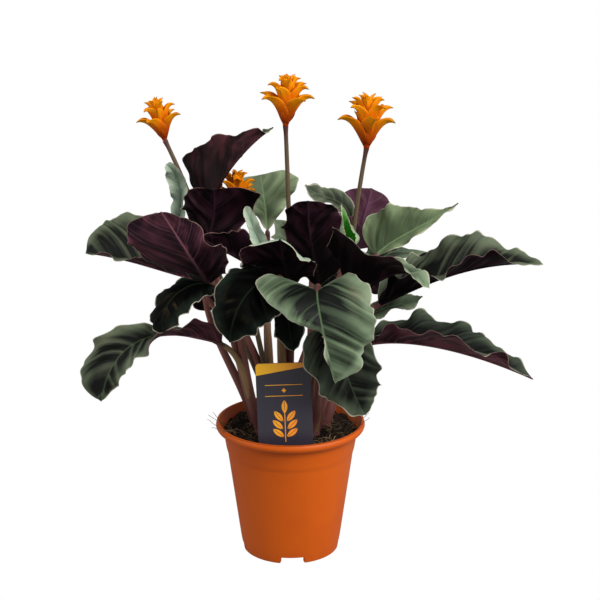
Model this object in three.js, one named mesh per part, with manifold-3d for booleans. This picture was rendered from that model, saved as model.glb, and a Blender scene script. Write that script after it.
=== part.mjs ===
// Potted flowering foliage plant: a clump of long-stalked leaves with waved blades and four
// orange blooms, growing in a round plastic pot filled with soil, with a plant label.
// Millimetres, +Z up. The origin is the middle of the pot's underside, on the surface it stands on,
// and -Y is the front, where the label is.

import * as THREE from 'three';
import { mergeVertices } from 'three/addons/utils/BufferGeometryUtils.js';
import Module from 'manifold-3d';

const wasm = await Module();
wasm.setup();

// ---------------------------------------------------------------- driving dimensions

const POT_HEIGHT = 127;
const RIM_RADIUS = 70;
const RIM_DEPTH = 8.5;
const RIM_MOUTH_RADIUS = 66.6;
const FOOT_RADIUS = 45.6;
const COLLAR_LOW = 98;
const COLLAR_RADIUS = 60.2;
const COLLAR_FLARE = 3.2;
const LIP_UNDER = POT_HEIGHT - RIM_DEPTH;
const WALL = 1.8;
const FLOOR_Z = 7.5;
const FLOOR_THICKNESS = 2;
const FOOT_RING_WIDTH = 3.2;
const CENTRE_FOOT_RADIUS = 7;
const POT_SEGMENTS = 32;

const NOTCH_COUNT = 4;
const NOTCH_WIDTH = 22;
const NOTCH_HEIGHT = 6.4;
const NOTCH_CORNER = 1.6;
const NOTCH_TURN = THREE.MathUtils.degToRad(2.5);

const SOIL_LEVEL = 122;
const SOIL_SAG = 2;
const SOIL_LUMP = 1.4;
const CLEARANCE = 0.3;

const SHOOT_DEPTH = 14;
const SHOOT_RADIUS = 7.6;
const SHOOT_NECK_RADIUS = 5.4;
const SHOOT_NECK_TOP = 139;
const CROWN_SEGMENTS = 10;
const PETIOLE_ROOT_RADIUS = 4.4;
const PETIOLE_TIP_RADIUS = 2.2;
const PETIOLE_SPREAD = 3.2;
const PETIOLE_SIDES = 5;
const PETIOLE_STEPS = 7;
const PETIOLE_GAP = 0.55;

const STALK_ROOT_RADIUS = 3.0;
const STALK_TIP_RADIUS = 2.1;
const STALK_STEPS = 6;

const BLADE_THICKNESS = 0.8;
const BLADE_EDGE = 0.6;
const BLADE_ROWS = 10;
const BLADE_COLUMNS = 6;
const SMALL_BLADE = 20;
const SMALL_ROWS = 7;
const SMALL_COLUMNS = 4;
const WAVE_POWER = 1.7;

const BRACTS = 11;
const GOLDEN_ANGLE = THREE.MathUtils.degToRad(137.5);
// Radius and height of the four rib points of a bract, each from the lowest bract to the top one.
const BRACT_PATH = [
  { radius: [3, 3, 2, 1], height: [3, 12, 22, 30] },
  { radius: [8, 7, 4.5, 2.4], height: [17, 27, 35, 39] },
  { radius: [16, 12, 8, 4], height: [29, 38, 43, 45] },
  { radius: [25.5, 20.5, 13, 5.5], height: [24, 38, 45.5, 48] },
];
const BRACT_HALF = [7.5, 6.5, 5, 3.4];
const BRACT_THICKNESS = 0.9;
const BRACT_ROWS = 3;
const BRACT_COLUMNS = 2;
const BLOOM_CORE = [[0, -1.5], [2.4, -1.5], [3.4, 3], [8, 15], [9, 21], [6, 33], [3, 42], [0, 44]];
const CORE_SEGMENTS = 8;

const LABEL_WIDTH = 49.5;
const LABEL_TOP = 201;
const LABEL_BOTTOM = 118;
const LABEL_CORNER = 3.5;
const LABEL_THICKNESS = 0.8;
const LABEL_STAKE_WIDTH = 16;
const LABEL_STAKE_DEPTH = 24;
const LABEL_PLACE = new THREE.Vector3(-3.5, -54, 0);
const LABEL_TILT = THREE.MathUtils.degToRad(2);

// ---------------------------------------------------------------- materials

function finish(color, roughness) {
  return new THREE.MeshStandardMaterial({ color, roughness, metalness: 0 });
}

const FINISHES = {
  pot: () => finish(0xd9661a, 0.5),
  soil: () => finish(0x2b1d14, 0.95),
  label: () => finish(0x33303a, 0.4),
  stem: () => finish(0x6b4a35, 0.5),
  leaf: () => finish(0x4b6650, 0.5),
  bloom: () => finish(0xf08a12, 0.5),
};

// ---------------------------------------------------------------- solids and booleans

// A closed solid of manifold-3d from a geometry, with its shared corners merged.
function toSolid(geometry) {
  const plain = geometry.clone();
  plain.deleteAttribute('normal');
  plain.deleteAttribute('uv');
  const merged = mergeVertices(plain, 1e-4);
  const mesh = new wasm.Mesh({
    numProp: 3,
    vertProperties: new Float32Array(merged.attributes.position.array),
    triVerts: new Uint32Array(merged.index.array),
  });
  return new wasm.Manifold(mesh);
}

function fromSolid(solid) {
  const mesh = solid.getMesh();
  const geometry = new THREE.BufferGeometry();
  geometry.setAttribute('position', new THREE.BufferAttribute(new Float32Array(mesh.vertProperties), 3));
  geometry.setIndex(new THREE.BufferAttribute(new Uint32Array(mesh.triVerts), 1));
  geometry.computeVertexNormals();
  return geometry;
}

function fuse(geometries) {
  const solids = geometries.map(toSolid);
  return fromSolid(solids.reduce((sum, solid) => sum.add(solid)));
}

function cut(geometry, tools) {
  return fromSolid(tools.map(toSolid).reduce((rest, tool) => rest.subtract(tool), toSolid(geometry)));
}

function geometryOf(points, faces) {
  const geometry = new THREE.BufferGeometry().setFromPoints(points);
  geometry.setIndex(faces.flat());
  geometry.computeVertexNormals();
  return geometry;
}

function lathe(profile, segments) {
  const points = profile.map(([radius, z]) => new THREE.Vector2(radius, z));
  return new THREE.LatheGeometry(points, segments).rotateX(Math.PI / 2);
}

// ---------------------------------------------------------------- curves

const vector = (values) => new THREE.Vector3(...values);
const mix = (from, to, t) => from + (to - from) * t;
const mixVectors = (from, to, t) => from.clone().lerp(to, t).normalize();

// A cubic curve that passes through four points at even steps.
function curveThrough(points) {
  const [a, b, c, d] = points.map((point) => (point.isVector3 ? point : vector(point)));
  const blend = (...weights) => [a, b, c, d].reduce(
    (sum, point, i) => sum.addScaledVector(point, weights[i] / 6),
    new THREE.Vector3(),
  );
  return new THREE.CubicBezierCurve3(a, blend(-5, 18, -9, 2), blend(2, -9, 18, -5), d);
}

// A smooth value along evenly spaced values, 0 at the first and 1 at the last.
function along(values, t) {
  const last = values.length - 1;
  if (last === 1) {
    return mix(values[0], values[1], t);
  }
  const at = (i) => {
    if (i < 0) return 2 * values[0] - values[1];
    if (i > last) return 2 * values[last] - values[last - 1];
    return values[i];
  };
  const i = Math.min(Math.floor(t * last), last - 1);
  const f = t * last - i;
  const [a, b, c, d] = [at(i - 1), at(i), at(i + 1), at(i + 2)];
  return b + 0.5 * f * (c - a + f * (2 * a - 5 * b + 4 * c - d + f * (3 * (b - c) + d - a)));
}

// A round stem along a curve, closed at both ends.
function stem(curve, steps, sides, radiusAt) {
  const frames = curve.computeFrenetFrames(steps, false);
  const points = [];
  const faces = [];
  for (let i = 0; i <= steps; i += 1) {
    const centre = curve.getPointAt(i / steps);
    for (let j = 0; j < sides; j += 1) {
      const angle = (2 * Math.PI * j) / sides;
      const radius = radiusAt(i / steps);
      const spoke = frames.normals[i].clone().multiplyScalar(Math.cos(angle) * radius);
      spoke.addScaledVector(frames.binormals[i], Math.sin(angle) * radius);
      points.push(spoke.add(centre));
    }
  }
  for (let i = 0; i < steps; i += 1) {
    for (let j = 0; j < sides; j += 1) {
      const a = i * sides + j;
      const b = i * sides + ((j + 1) % sides);
      faces.push([a, b, b + sides], [a, b + sides, a + sides]);
    }
  }
  const top = steps * sides;
  for (let j = 1; j < sides - 1; j += 1) {
    faces.push([0, j + 1, j], [top, top + j, top + j + 1]);
  }
  return geometryOf(points, faces);
}

// ---------------------------------------------------------------- leaf blades

// Width of a blade along its rib, 1 at its widest. The two powers shape the base and the tip.
function outline(t, base, tip) {
  const peak = base / (base + tip);
  return (t ** base * (1 - t) ** tip) / (peak ** base * (1 - peak) ** tip);
}

// The middle surface of a blade: rows of points across it, from base to tip. Each half folds up from
// the rib by its own angle, curls on towards its margin, leans forward along the side veins, and its
// margin waves up and down.
function bladeGrid(leaf, rows, columns) {
  const rib = curveThrough(leaf.rib);
  const [faceBase, faceTip] = leaf.face.map((face) => vector(face).normalize());
  const [powerBase, powerTip] = leaf.shape ?? [0.5, 0.72];
  const [waveHeight, waveCount, ...phases] = leaf.wave;
  const grid = [];
  for (let i = 0; i <= rows; i += 1) {
    const even = i / rows;
    const t = 0.35 * even + 0.325 * (1 - Math.cos(Math.PI * even));
    const middle = rib.getPoint(t);
    const forward = rib.getTangent(t);
    const face = mixVectors(faceBase, faceTip, t);
    const up = face.addScaledVector(forward, -face.dot(forward)).normalize();
    const right = forward.clone().cross(up);
    const half = Math.max(leaf.half * outline(t, powerBase, powerTip), BLADE_EDGE);
    const swell = Math.sqrt(Math.max(Math.sin(Math.PI * t), 0));
    const row = [];
    for (let j = 0; j <= columns; j += 1) {
      const s = (2 * j) / columns - 1;
      const out = Math.abs(s);
      const side = s > 0 ? 1 : 0;
      const width = half * along((side ? leaf.wideRight : leaf.wideLeft) ?? [1, 1], t);
      const fold = THREE.MathUtils.degToRad(mix(leaf.fold[2 * side], leaf.fold[2 * side + 1], t));
      const bend = THREE.MathUtils.degToRad(mix(leaf.curl[2 * side], leaf.curl[2 * side + 1], t));
      const curl = Math.abs(bend) < 1e-4 ? 1e-4 : bend;
      const angle = fold + curl * out;
      const wave = waveHeight * swell * out ** WAVE_POWER
        * Math.sin(2 * Math.PI * (waveCount * t + phases[side]));
      const across = (width * (Math.sin(angle) - Math.sin(fold))) / curl - wave * Math.sin(angle);
      const lift = (width * (Math.cos(fold) - Math.cos(angle))) / curl + wave * Math.cos(angle);
      const lead = width * mix(leaf.sweep[0], leaf.sweep[1], t) * (0.5 * out + 0.5 * out * out);
      const point = middle.clone().addScaledVector(right, Math.sign(s) * across);
      row.push(point.addScaledVector(up, lift).addScaledVector(forward, lead));
    }
    grid.push(row);
  }
  return grid;
}

// The direction that the upper face looks in at each point of a grid.
function gridNormals(grid) {
  const at = (i, j) => grid[THREE.MathUtils.clamp(i, 0, grid.length - 1)][j];
  return grid.map((row, i) => row.map((point, j) => {
    const down = at(i + 1, j).clone().sub(at(i - 1, j));
    const across = row[Math.min(j + 1, row.length - 1)].clone().sub(row[Math.max(j - 1, 0)]);
    return across.cross(down).normalize();
  }));
}

// A closed sheet of even thickness about a grid, split into the same triangles on both faces.
function sheet(grid, thickness) {
  const normals = gridNormals(grid);
  const rows = grid.length - 1;
  const columns = grid[0].length - 1;
  const face = (side) => grid.flatMap((row, i) => row.map(
    (point, j) => point.clone().addScaledVector(normals[i][j], (side * thickness) / 2),
  ));
  const points = [...face(1), ...face(-1)];
  const back = points.length / 2;
  const index = (i, j) => i * (columns + 1) + j;
  const faces = [];
  for (let i = 0; i < rows; i += 1) {
    for (let j = 0; j < columns; j += 1) {
      const [a, b, c, d] = [index(i, j), index(i, j + 1), index(i + 1, j + 1), index(i + 1, j)];
      faces.push([a, b, c], [a, c, d]);
      faces.push([back + a, back + c, back + b], [back + a, back + d, back + c]);
    }
  }
  const ring = [];
  for (let j = 0; j < columns; j += 1) ring.push(index(0, j));
  for (let i = 0; i < rows; i += 1) ring.push(index(i, columns));
  for (let j = columns; j > 0; j -= 1) ring.push(index(rows, j));
  for (let i = rows; i > 0; i -= 1) ring.push(index(i, 0));
  ring.forEach((a, i) => {
    const b = ring[(i + 1) % ring.length];
    faces.push([a, back + a, back + b], [a, back + b, b]);
  });
  return geometryOf(points, faces);
}

// ---------------------------------------------------------------- leaf stalks

// A petiole rises from its shoot, arches over and runs into the base of its blade's rib. It stops
// just short of the blade.
function petioleCurve(leaf, shoot) {
  const rib = curveThrough(leaf.rib);
  const into = rib.getTangent(0);
  const aim = vector(leaf.rib[0]);
  const away = new THREE.Vector3(aim.x - shoot.x, aim.y - shoot.y, 0).normalize();
  const root = shoot.clone().addScaledVector(away, PETIOLE_SPREAD);
  const end = aim.clone().addScaledVector(into, -(leaf.gap ?? PETIOLE_GAP));
  const lean = leaf.lean ? vector(leaf.lean) : new THREE.Vector3(shoot.x * 0.012, shoot.y * 0.012, 1);
  const [rise, run] = leaf.reach ?? [0.4, 0.3];
  const length = end.distanceTo(root);
  const first = root.clone().addScaledVector(lean.normalize(), length * rise);
  const second = end.clone().addScaledVector(into, -length * run);
  return new THREE.CubicBezierCurve3(root, first, second, end);
}

function petiole(leaf, shoot) {
  const slim = leaf.half < SMALL_BLADE ? 0.8 : 1;
  const radius = (t) => slim * mix(PETIOLE_ROOT_RADIUS, PETIOLE_TIP_RADIUS, t ** 0.7);
  return stem(petioleCurve(leaf, shoot), PETIOLE_STEPS, PETIOLE_SIDES, radius);
}

// ---------------------------------------------------------------- shoots, where each crown stands

const SHOOTS = {
  front_left: new THREE.Vector3(-26, -14, 0),
  left: new THREE.Vector3(-31, 8, 0),
  back_left: new THREE.Vector3(-15, 27, 0),
  middle: new THREE.Vector3(-2, 3, 0),
  front_right: new THREE.Vector3(20, -20, 0),
  right: new THREE.Vector3(31, 4, 0),
  back_right: new THREE.Vector3(13, 27, 0),
};
Object.values(SHOOTS).forEach((place) => place.setZ(SOIL_LEVEL + 4));

// Each leaf has the shoot it grows from, four points of its midrib from base to tip, the way its
// upper face looks at the base and at the tip, and its greatest half width. Fold and curl are in
// degrees: left half at base and tip, then right half. Wave is height, count and the two phases.
const LEAVES = [
  // the large leaf that hangs in front
  {
    shoot: 'front_right',
    rib: [[24, -69, 272], [26, -95, 258], [32, -105, 232], [39, -99, 199]],
    face: [[-0.1, -0.75, 0.9], [0.1, -1, 0.25]],
    half: 50,
    fold: [24, -5, 20, 5],
    curl: [-15, -35, -10, -30],
    wave: [4.5, 2.4, 0.05, 0.6],
    sweep: [-0.68, 0.5],
    gap: 1.9,
    shape: [0.5, 0.8],
    wideLeft: [0.9, 0.95, 1.3],
    wideRight: [1.3, 1.1, 0.12, 0.1, 0.15],
  },
  // the lowest leaf, under it
  {
    shoot: 'front_right',
    rib: [[32, -42, 228], [43, -62, 214], [54, -62, 183], [68, -42, 148]],
    face: [[0.3, -0.7, 0.7], [0.4, -1, 0.35]],
    half: 30,
    fold: [40, 15, 10, 0],
    curl: [20, 0, -20, -25],
    wave: [4, 2.2, 0.1, 0.3],
    sweep: [-0.1, 0.5],
    wideLeft: [1, 1.05],
    wideRight: [1.25, 1.05, 0.55],
  },
  // the dark leaf that hangs left of the middle
  {
    shoot: 'middle',
    rib: [[-10, -43, 277], [-27, -63, 277], [-43, -80, 262], [-52, -80, 230]],
    face: [[-0.1, -0.5, 1], [-0.2, -1, 0]],
    half: 37,
    fold: [5, -5, 5, 0],
    curl: [-20, -20, -20, -25],
    wave: [3, 2.2, 0.2, 0.5],
    sweep: [-0.1, 0.5],
    wideLeft: [0.9, 0.85],
    wideRight: [0.85, 0.75],
    lean: [-0.12, -0.3, 1],
    reach: [0.7, 0.08],
  },
  // the small dark arched leaf on the left
  {
    shoot: 'front_left',
    rib: [[-64, -30, 262], [-85, -46, 271], [-105, -64, 260], [-110, -76, 236]],
    face: [[0.1, -0.3, 1], [-0.7, -0.7, 0.1]],
    half: 26,
    fold: [20, -5, -20, -5],
    curl: [-10, -20, -10, -30],
    wave: [3, 2, 0.1, 0.6],
    sweep: [0, 0.5],
    shape: [0.6, 0.6],
    wideLeft: [0.9, 1.1],
    wideRight: [0.8, 1],
  },
  // the low leaf at the far left
  {
    shoot: 'front_left',
    rib: [[-63, -28, 210], [-107, -42, 224], [-146, -50, 212], [-169, -55, 167]],
    face: [[-0.1, -0.5, 1], [-0.6, -0.8, 0.35]],
    half: 34,
    fold: [110, -40, 45, -5],
    curl: [0, 0, 0, -20],
    wave: [3.5, 2.8, 0.2, 0.5],
    sweep: [0, 0.3],
    shape: [0.6, 0.6],
    wideLeft: [1.3, 0.75, 0.5],
    wideRight: [0.15, 0.25, 0.85, 2.4],
  },
  // the trough-shaped leaf at the upper left
  {
    shoot: 'left',
    rib: [[-85, 15, 260], [-115, 10, 269], [-149, 5, 280], [-184, 0, 288]],
    face: [[0, -0.25, 1], [-0.1, -0.35, 1]],
    half: 44,
    fold: [75, 25, 60, 40],
    curl: [0, -10, -10, -40],
    wave: [3, 2.2, 0.3, 0.2],
    sweep: [0, 0.2],
    shape: [0.7, 0.55],
    wideLeft: [0.7, 0.5],
    wideRight: [1.05, 1.15, 1.1],
  },
  // the leaf in front of it, turned to show its underside
  {
    shoot: 'front_left',
    rib: [[-73, -20, 264], [-82, -28, 281], [-94, -38, 304], [-111, -46, 335]],
    face: [[0.1, 0.9, 0.5], [-0.1, 0.75, 0.65]],
    half: 44,
    fold: [10, 0, 10, 5],
    curl: [-20, -10, 10, 10],
    wave: [4, 2.6, 0.1, 0.6],
    sweep: [0, 0.3],
    shape: [0.9, 0.55],
    wideLeft: [1.4, 0.7, 0.4],
    wideRight: [0.65, 1.4],
  },
  // the broad upright leaf left of the middle
  {
    shoot: 'left',
    rib: [[-79, 2, 253], [-77, 10, 284], [-71, 12, 314], [-69, 4, 345]],
    face: [[0.1, 1, 0.35], [0.1, 0.8, 0.6]],
    half: 42,
    fold: [15, 0, 15, 0],
    curl: [5, 5, 5, 5],
    wave: [4, 2.9, 0.1, 0.4],
    sweep: [-0.1, 0.2],
    shape: [1.5, 0.4],
    wideLeft: [0.1, 0.25, 0.75, 1.15],
    wideRight: [0.7, 0.7],
  },
  // the tallest leaf, half folded shut
  {
    shoot: 'back_left',
    rib: [[-75, 20, 328], [-61, 17, 354], [-41, 15, 379], [-17, 12, 400]],
    face: [[0.75, 0.6, 0.2], [0.4, 0.9, -0.2]],
    half: 38,
    fold: [130, 120, 0, 0],
    curl: [0, 0, 10, 10],
    wave: [3.5, 2.8, 0.1, 0.4],
    sweep: [0, 0.15],
    shape: [0.55, 0.8],
    wideLeft: [0.3, 0.4],
    wideRight: [2.05, 0.9, 0.35],
  },
  // the slim pale leaf beside it
  {
    shoot: 'back_left',
    rib: [[-105, 44, 304], [-101, 38, 327], [-103, 32, 348], [-112, 26, 364]],
    face: [[-0.5, -0.8, 0.5], [-0.3, -1, 0.5]],
    half: 9,
    fold: [35, 30, 35, 30],
    curl: [0, 0, 0, 0],
    wave: [2.2, 2.2, 0.1, 0.4],
    sweep: [0, 0.6],
  },
  // the pale leaf behind the small bloom
  {
    shoot: 'back_left',
    rib: [[-22, 66, 292], [-23, 64, 310], [-25, 64, 328], [-28, 68, 345]],
    face: [[0.1, -1, 0.4], [0.1, -0.9, 0.6]],
    half: 33,
    fold: [10, 5, 10, 5],
    curl: [0, 0, 5, 5],
    wave: [3, 2.6, 0, 0.3],
    sweep: [0, 0.15],
    shape: [1.3, 0.28],
    wideLeft: [0.75, 0.7],
    wideRight: [1, 0.95],
  },
  // the upright leaf in the middle
  {
    shoot: 'middle',
    rib: [[26, 10, 254], [21, 8, 283], [17, 4, 313], [16, -4, 336]],
    face: [[0, 1, 0.3], [0, 0.8, 0.7]],
    half: 32,
    fold: [15, 5, 15, 5],
    curl: [5, 5, 5, 5],
    wave: [4, 2, 0.3, 0.1],
    sweep: [0, 0],
    shape: [0.8, 0.5],
    wideLeft: [1.6, 1.1, 0.9],
    wideRight: [1.1, 0.8, 0.7],
  },
  // the cupped leaf in front of it
  {
    shoot: 'middle',
    rib: [[0, -28, 259], [-3, -38, 278], [-6, -50, 297], [-8, -60, 314]],
    face: [[0.05, 0.8, 0.7], [0.1, 0.2, 1]],
    half: 35,
    fold: [20, 10, 20, 10],
    curl: [20, -80, 10, -70],
    wave: [4, 2.2, 0.1, 0.3],
    sweep: [0, 0],
    shape: [0.9, 0.5],
    wideLeft: [1, 0.75],
    wideRight: [1, 1.25],
    lean: [0, -0.25, 1],
    reach: [0.4, 0.2],
  },
  // a small waved leaf behind the middle
  {
    shoot: 'back_right',
    rib: [[55, 26, 315], [46, 22, 330], [31, 18, 337], [15, 14, 347]],
    face: [[0, -0.6, 0.8], [0.1, -0.8, 0.6]],
    half: 11,
    fold: [20, 10, 20, 10],
    curl: [0, 0, -10, -10],
    wave: [2.5, 1.8, 0.1, 0.5],
    sweep: [0, 0.6],
  },
  // the young bright leaf round a bloom's stalk
  {
    shoot: 'right',
    rib: [[50, -11, 299], [49, -12, 310], [48, -14, 322], [46, -16, 335]],
    face: [[0.3, -0.9, 0.4], [0.2, -1, 0.3]],
    half: 15,
    fold: [40, 30, 40, 30],
    curl: [20, 20, 20, 20],
    wave: [3, 1.6, 0.1, 0.3],
    sweep: [0, 0.2],
    shape: [0.5, 0.9],
  },
  // the leaf right of the middle that curls over at its tip
  {
    shoot: 'right',
    rib: [[50, -25, 253], [73, -38, 269], [97, -50, 283], [121, -58, 273]],
    face: [[0.1, 0.35, 1], [-0.2, -0.5, 1]],
    half: 42,
    fold: [30, 0, 80, 30],
    curl: [0, -20, 0, -20],
    wave: [4, 2.3, 0.1, 0.4],
    sweep: [0, 0.3],
    wideLeft: [0.7, 0.45],
    wideRight: [1.35, 1.5, 0.5],
  },
  // the pale leaf at the upper right
  {
    shoot: 'back_right',
    rib: [[79, 20, 281], [97, 18, 296], [121, 14, 311], [151, 10, 331]],
    face: [[-0.2, -0.75, 0.65], [-0.2, -0.75, 0.6]],
    half: 32,
    fold: [5, 5, 20, 20],
    curl: [-5, -5, -30, -30],
    wave: [3, 3, 0.2, 0.5],
    sweep: [0, 0.2],
    shape: [0.42, 1.25],
    wideLeft: [1.15, 1.1, 0.75],
    wideRight: [0.1, 0.35, 0.35],
  },
  // the long leaf at the far right
  {
    shoot: 'right',
    rib: [[82, 2, 239], [124, 0, 259], [171, -4, 275], [227, -8, 280]],
    face: [[0.05, -0.15, 1], [0, -0.3, 1]],
    half: 38,
    fold: [45, 35, 55, 45],
    curl: [-10, -25, 0, -20],
    wave: [8, 1.9, 0.05, 0.95],
    sweep: [0, 0.25],
    shape: [0.5, 0.6],
    wideLeft: [0.9, 1, 0.75],
    wideRight: [1, 0.75, 0.9],
  },
  // the low waved leaf on the right
  {
    shoot: 'front_right',
    rib: [[71, -22, 209], [112, -30, 212], [162, -38, 203], [217, -44, 183]],
    face: [[0, 0.05, 1], [0.1, -0.05, 1]],
    half: 34,
    fold: [35, 30, 50, 35],
    curl: [-10, -20, -10, -20],
    wave: [4, 3.6, 0.1, 0.5],
    sweep: [0, 0.35],
    wideLeft: [1.1, 1.15, 1],
    wideRight: [0.75, 1, 1.1],
  },
  // the round leaf at the back, turned away
  {
    shoot: 'back_right',
    rib: [[58, 42, 281], [65, 50, 296], [71, 58, 314], [76, 64, 333]],
    face: [[0.1, 1, 0.3], [0.1, 1, 0.4]],
    half: 29,
    fold: [10, 5, 10, 5],
    curl: [0, 0, 0, 0],
    wave: [1.2, 1.6, 0.1, 0.4],
    sweep: [0, 0],
    shape: [0.9, 0.45],
  },
  // a narrow leaf on the right
  {
    shoot: 'back_right',
    rib: [[72, 30, 217], [88, 32, 226], [105, 34, 230], [123, 36, 236]],
    face: [[-0.1, -0.45, 0.9], [-0.1, -0.5, 0.9]],
    half: 12,
    fold: [20, 10, 20, 10],
    curl: [0, 0, 0, 0],
    wave: [3, 1.8, 0.1, 0.4],
    sweep: [0, 0.6],
  },
  // a small leaf that hangs in the shade of the front ones
  {
    shoot: 'middle',
    rib: [[-3, -41, 255], [-2, -48, 244], [0, -51, 229], [3, -49, 212]],
    face: [[0, -0.7, 0.7], [0, -1, 0.2]],
    half: 14,
    fold: [15, 0, 15, 0],
    curl: [-10, -10, -10, -10],
    wave: [2, 1.8, 0.1, 0.4],
    sweep: [0, 0.6],
    lean: [0.05, -0.25, 1],
  },
  // a slim rolled young leaf in the middle
  {
    shoot: 'middle',
    rib: [[-23, -27, 296], [-28, -29, 307], [-33, -30, 320], [-38, -28, 336]],
    face: [[0.3, -0.9, 0.4], [-0.2, -1, 0.3]],
    half: 8,
    fold: [20, 10, 20, 10],
    curl: [70, 50, 40, 20],
    wave: [1.5, 1.5, 0.1, 0.4],
    sweep: [0, 0.6],
    shape: [0.5, 0.5],
    lean: [-0.05, -0.3, 1],
    reach: [0.4, 0.3],
  },
  // the dark leaf that points left from the middle
  {
    shoot: 'middle',
    rib: [[-17, 0, 267], [-37, -11, 281], [-58, -20, 295], [-79, -28, 309]],
    face: [[0.1, 0.5, 0.9], [0, 0.35, 0.9]],
    half: 27,
    fold: [65, 40, 20, 10],
    curl: [0, 0, 0, 0],
    wave: [2.5, 2, 0.1, 0.4],
    sweep: [0, 0.3],
    wideLeft: [0.9, 0.95],
    wideRight: [0.6, 0.8],
  },
  // five leaves that arch over at the back
  {
    shoot: 'back_left',
    rib: [[-30, 62, 225], [-52, 98, 236], [-72, 132, 222], [-84, 160, 188]],
    face: [[-0.1, 0.2, 1], [-0.4, 0.8, 0.4]],
    half: 38,
    fold: [15, 0, 15, 0],
    curl: [-10, -20, -10, -20],
    wave: [4, 2.4, 0.1, 0.4],
    sweep: [0, 0.5],
  },
  {
    shoot: 'back_right',
    rib: [[34, 66, 222], [54, 100, 240], [72, 138, 232], [82, 172, 204]],
    face: [[0.1, 0.2, 1], [0.4, 0.8, 0.4]],
    half: 38,
    fold: [15, 0, 15, 0],
    curl: [-10, -20, -10, -20],
    wave: [4, 2.4, 0.1, 0.4],
    sweep: [0, 0.5],
  },
  {
    shoot: 'back_right',
    rib: [[20, 60, 248], [21, 90, 278], [20, 124, 288], [16, 158, 272]],
    face: [[0, 0.1, 1], [0, 0.6, 0.8]],
    half: 38,
    fold: [15, 0, 15, 0],
    curl: [-10, -20, -10, -20],
    wave: [4, 2.4, 0.1, 0.4],
    sweep: [0, 0.5],
  },
  {
    shoot: 'back_left',
    rib: [[-76, 68, 246], [-92, 92, 268], [-106, 118, 272], [-118, 144, 258]],
    face: [[-0.1, 0, 1], [-0.3, 0.6, 0.7]],
    half: 26,
    fold: [15, 0, 15, 0],
    curl: [-10, -20, -10, -20],
    wave: [3, 2.2, 0.3, 0.1],
    sweep: [0, 0.5],
  },
  {
    shoot: 'back_right',
    rib: [[66, 56, 248], [90, 74, 266], [112, 94, 268], [132, 116, 254]],
    face: [[0.1, 0, 1], [0.4, 0.5, 0.7]],
    half: 30,
    fold: [15, 0, 15, 0],
    curl: [-10, -20, -10, -20],
    wave: [3.5, 2.6, 0.2, 0.5],
    sweep: [0, 0.5],
  },
];

// Each flower stalk has the shoot it grows from, the two points it passes and its top, where the
// bloom sits, with the bloom's size, its lean in degrees and its turn.
const BLOOMS = [
  { shoot: 'back_left', path: [[-50, 38, 208], [-82, 42, 300], [-116, 50, 383]], size: 0.86, lean: -20, turn: 10 },
  { shoot: 'middle', path: [[0, 14, 212], [-1, 19, 307], [-4, 16, 402]], size: 1, lean: 3, turn: 80 },
  { shoot: 'right', path: [[46, 14, 206], [57, 20, 294], [69, 15, 382]], size: 1.06, lean: 2, turn: 200 },
  { shoot: 'back_left', path: [[-28, 33, 184], [-41, 39, 251], [-50, 40, 318]], size: 0.85, lean: 0, turn: 330 },
];

// ---------------------------------------------------------------- pot

function wallRadius(z) {
  return mix(FOOT_RADIUS + 0.2, COLLAR_RADIUS - 1, z / COLLAR_LOW);
}

// Inside radius of the pot, past the step of its collar too.
function insideRadius(z) {
  if (z <= COLLAR_LOW) {
    return wallRadius(z) - WALL;
  }
  const under = COLLAR_RADIUS + COLLAR_FLARE - WALL;
  if (z <= LIP_UNDER - 1) {
    return mix(wallRadius(COLLAR_LOW) - WALL, under, (z - COLLAR_LOW) / (LIP_UNDER - 1 - COLLAR_LOW));
  }
  return mix(under, RIM_MOUTH_RADIUS, (z - LIP_UNDER + 1) / (POT_HEIGHT - 0.4 - LIP_UNDER));
}

function potBody() {
  const floorTop = FLOOR_Z + FLOOR_THICKNESS;
  const profile = [
    [0, 0],
    [CENTRE_FOOT_RADIUS, 0],
    [CENTRE_FOOT_RADIUS, FLOOR_Z],
    [FOOT_RADIUS - FOOT_RING_WIDTH + 0.5, FLOOR_Z],
    [FOOT_RADIUS - FOOT_RING_WIDTH, 0],
    [FOOT_RADIUS - 0.5, 0],
    [wallRadius(1), 1],
    [wallRadius(COLLAR_LOW), COLLAR_LOW],
    [COLLAR_RADIUS, COLLAR_LOW + 1.4],
    [COLLAR_RADIUS + COLLAR_FLARE, LIP_UNDER - 0.3],
    [RIM_RADIUS - 0.8, LIP_UNDER],
    [RIM_RADIUS, LIP_UNDER + 1.2],
    [RIM_RADIUS, POT_HEIGHT - 2.4],
    [RIM_RADIUS - 1.3, POT_HEIGHT - 0.3],
    [RIM_MOUTH_RADIUS + 1.2, POT_HEIGHT],
    [RIM_MOUTH_RADIUS, POT_HEIGHT - 1.4],
    [insideRadius(LIP_UNDER - 1), LIP_UNDER - 1],
    [insideRadius(COLLAR_LOW), COLLAR_LOW],
    [insideRadius(floorTop), floorTop],
    [0, floorTop],
  ];
  return lathe(profile, POT_SEGMENTS);
}

// The drainage notches stand evenly round the foot ring, the first one at the front.
function notchTool(index) {
  const half = NOTCH_WIDTH / 2;
  const shape = new THREE.Shape();
  shape.moveTo(-half - 0.6, -2);
  shape.lineTo(half + 0.6, -2);
  shape.lineTo(half, NOTCH_HEIGHT - NOTCH_CORNER);
  shape.quadraticCurveTo(half, NOTCH_HEIGHT, half - NOTCH_CORNER, NOTCH_HEIGHT);
  shape.lineTo(-half + NOTCH_CORNER, NOTCH_HEIGHT);
  shape.quadraticCurveTo(-half, NOTCH_HEIGHT, -half, NOTCH_HEIGHT - NOTCH_CORNER);
  shape.closePath();
  const tool = new THREE.ExtrudeGeometry(shape, { depth: 16, bevelEnabled: false, curveSegments: 3 });
  tool.rotateX(Math.PI / 2);
  tool.translate(0, -FOOT_RADIUS + 10, 0);
  tool.rotateZ(NOTCH_TURN + (index * 2 * Math.PI) / NOTCH_COUNT);
  return tool;
}

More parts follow.
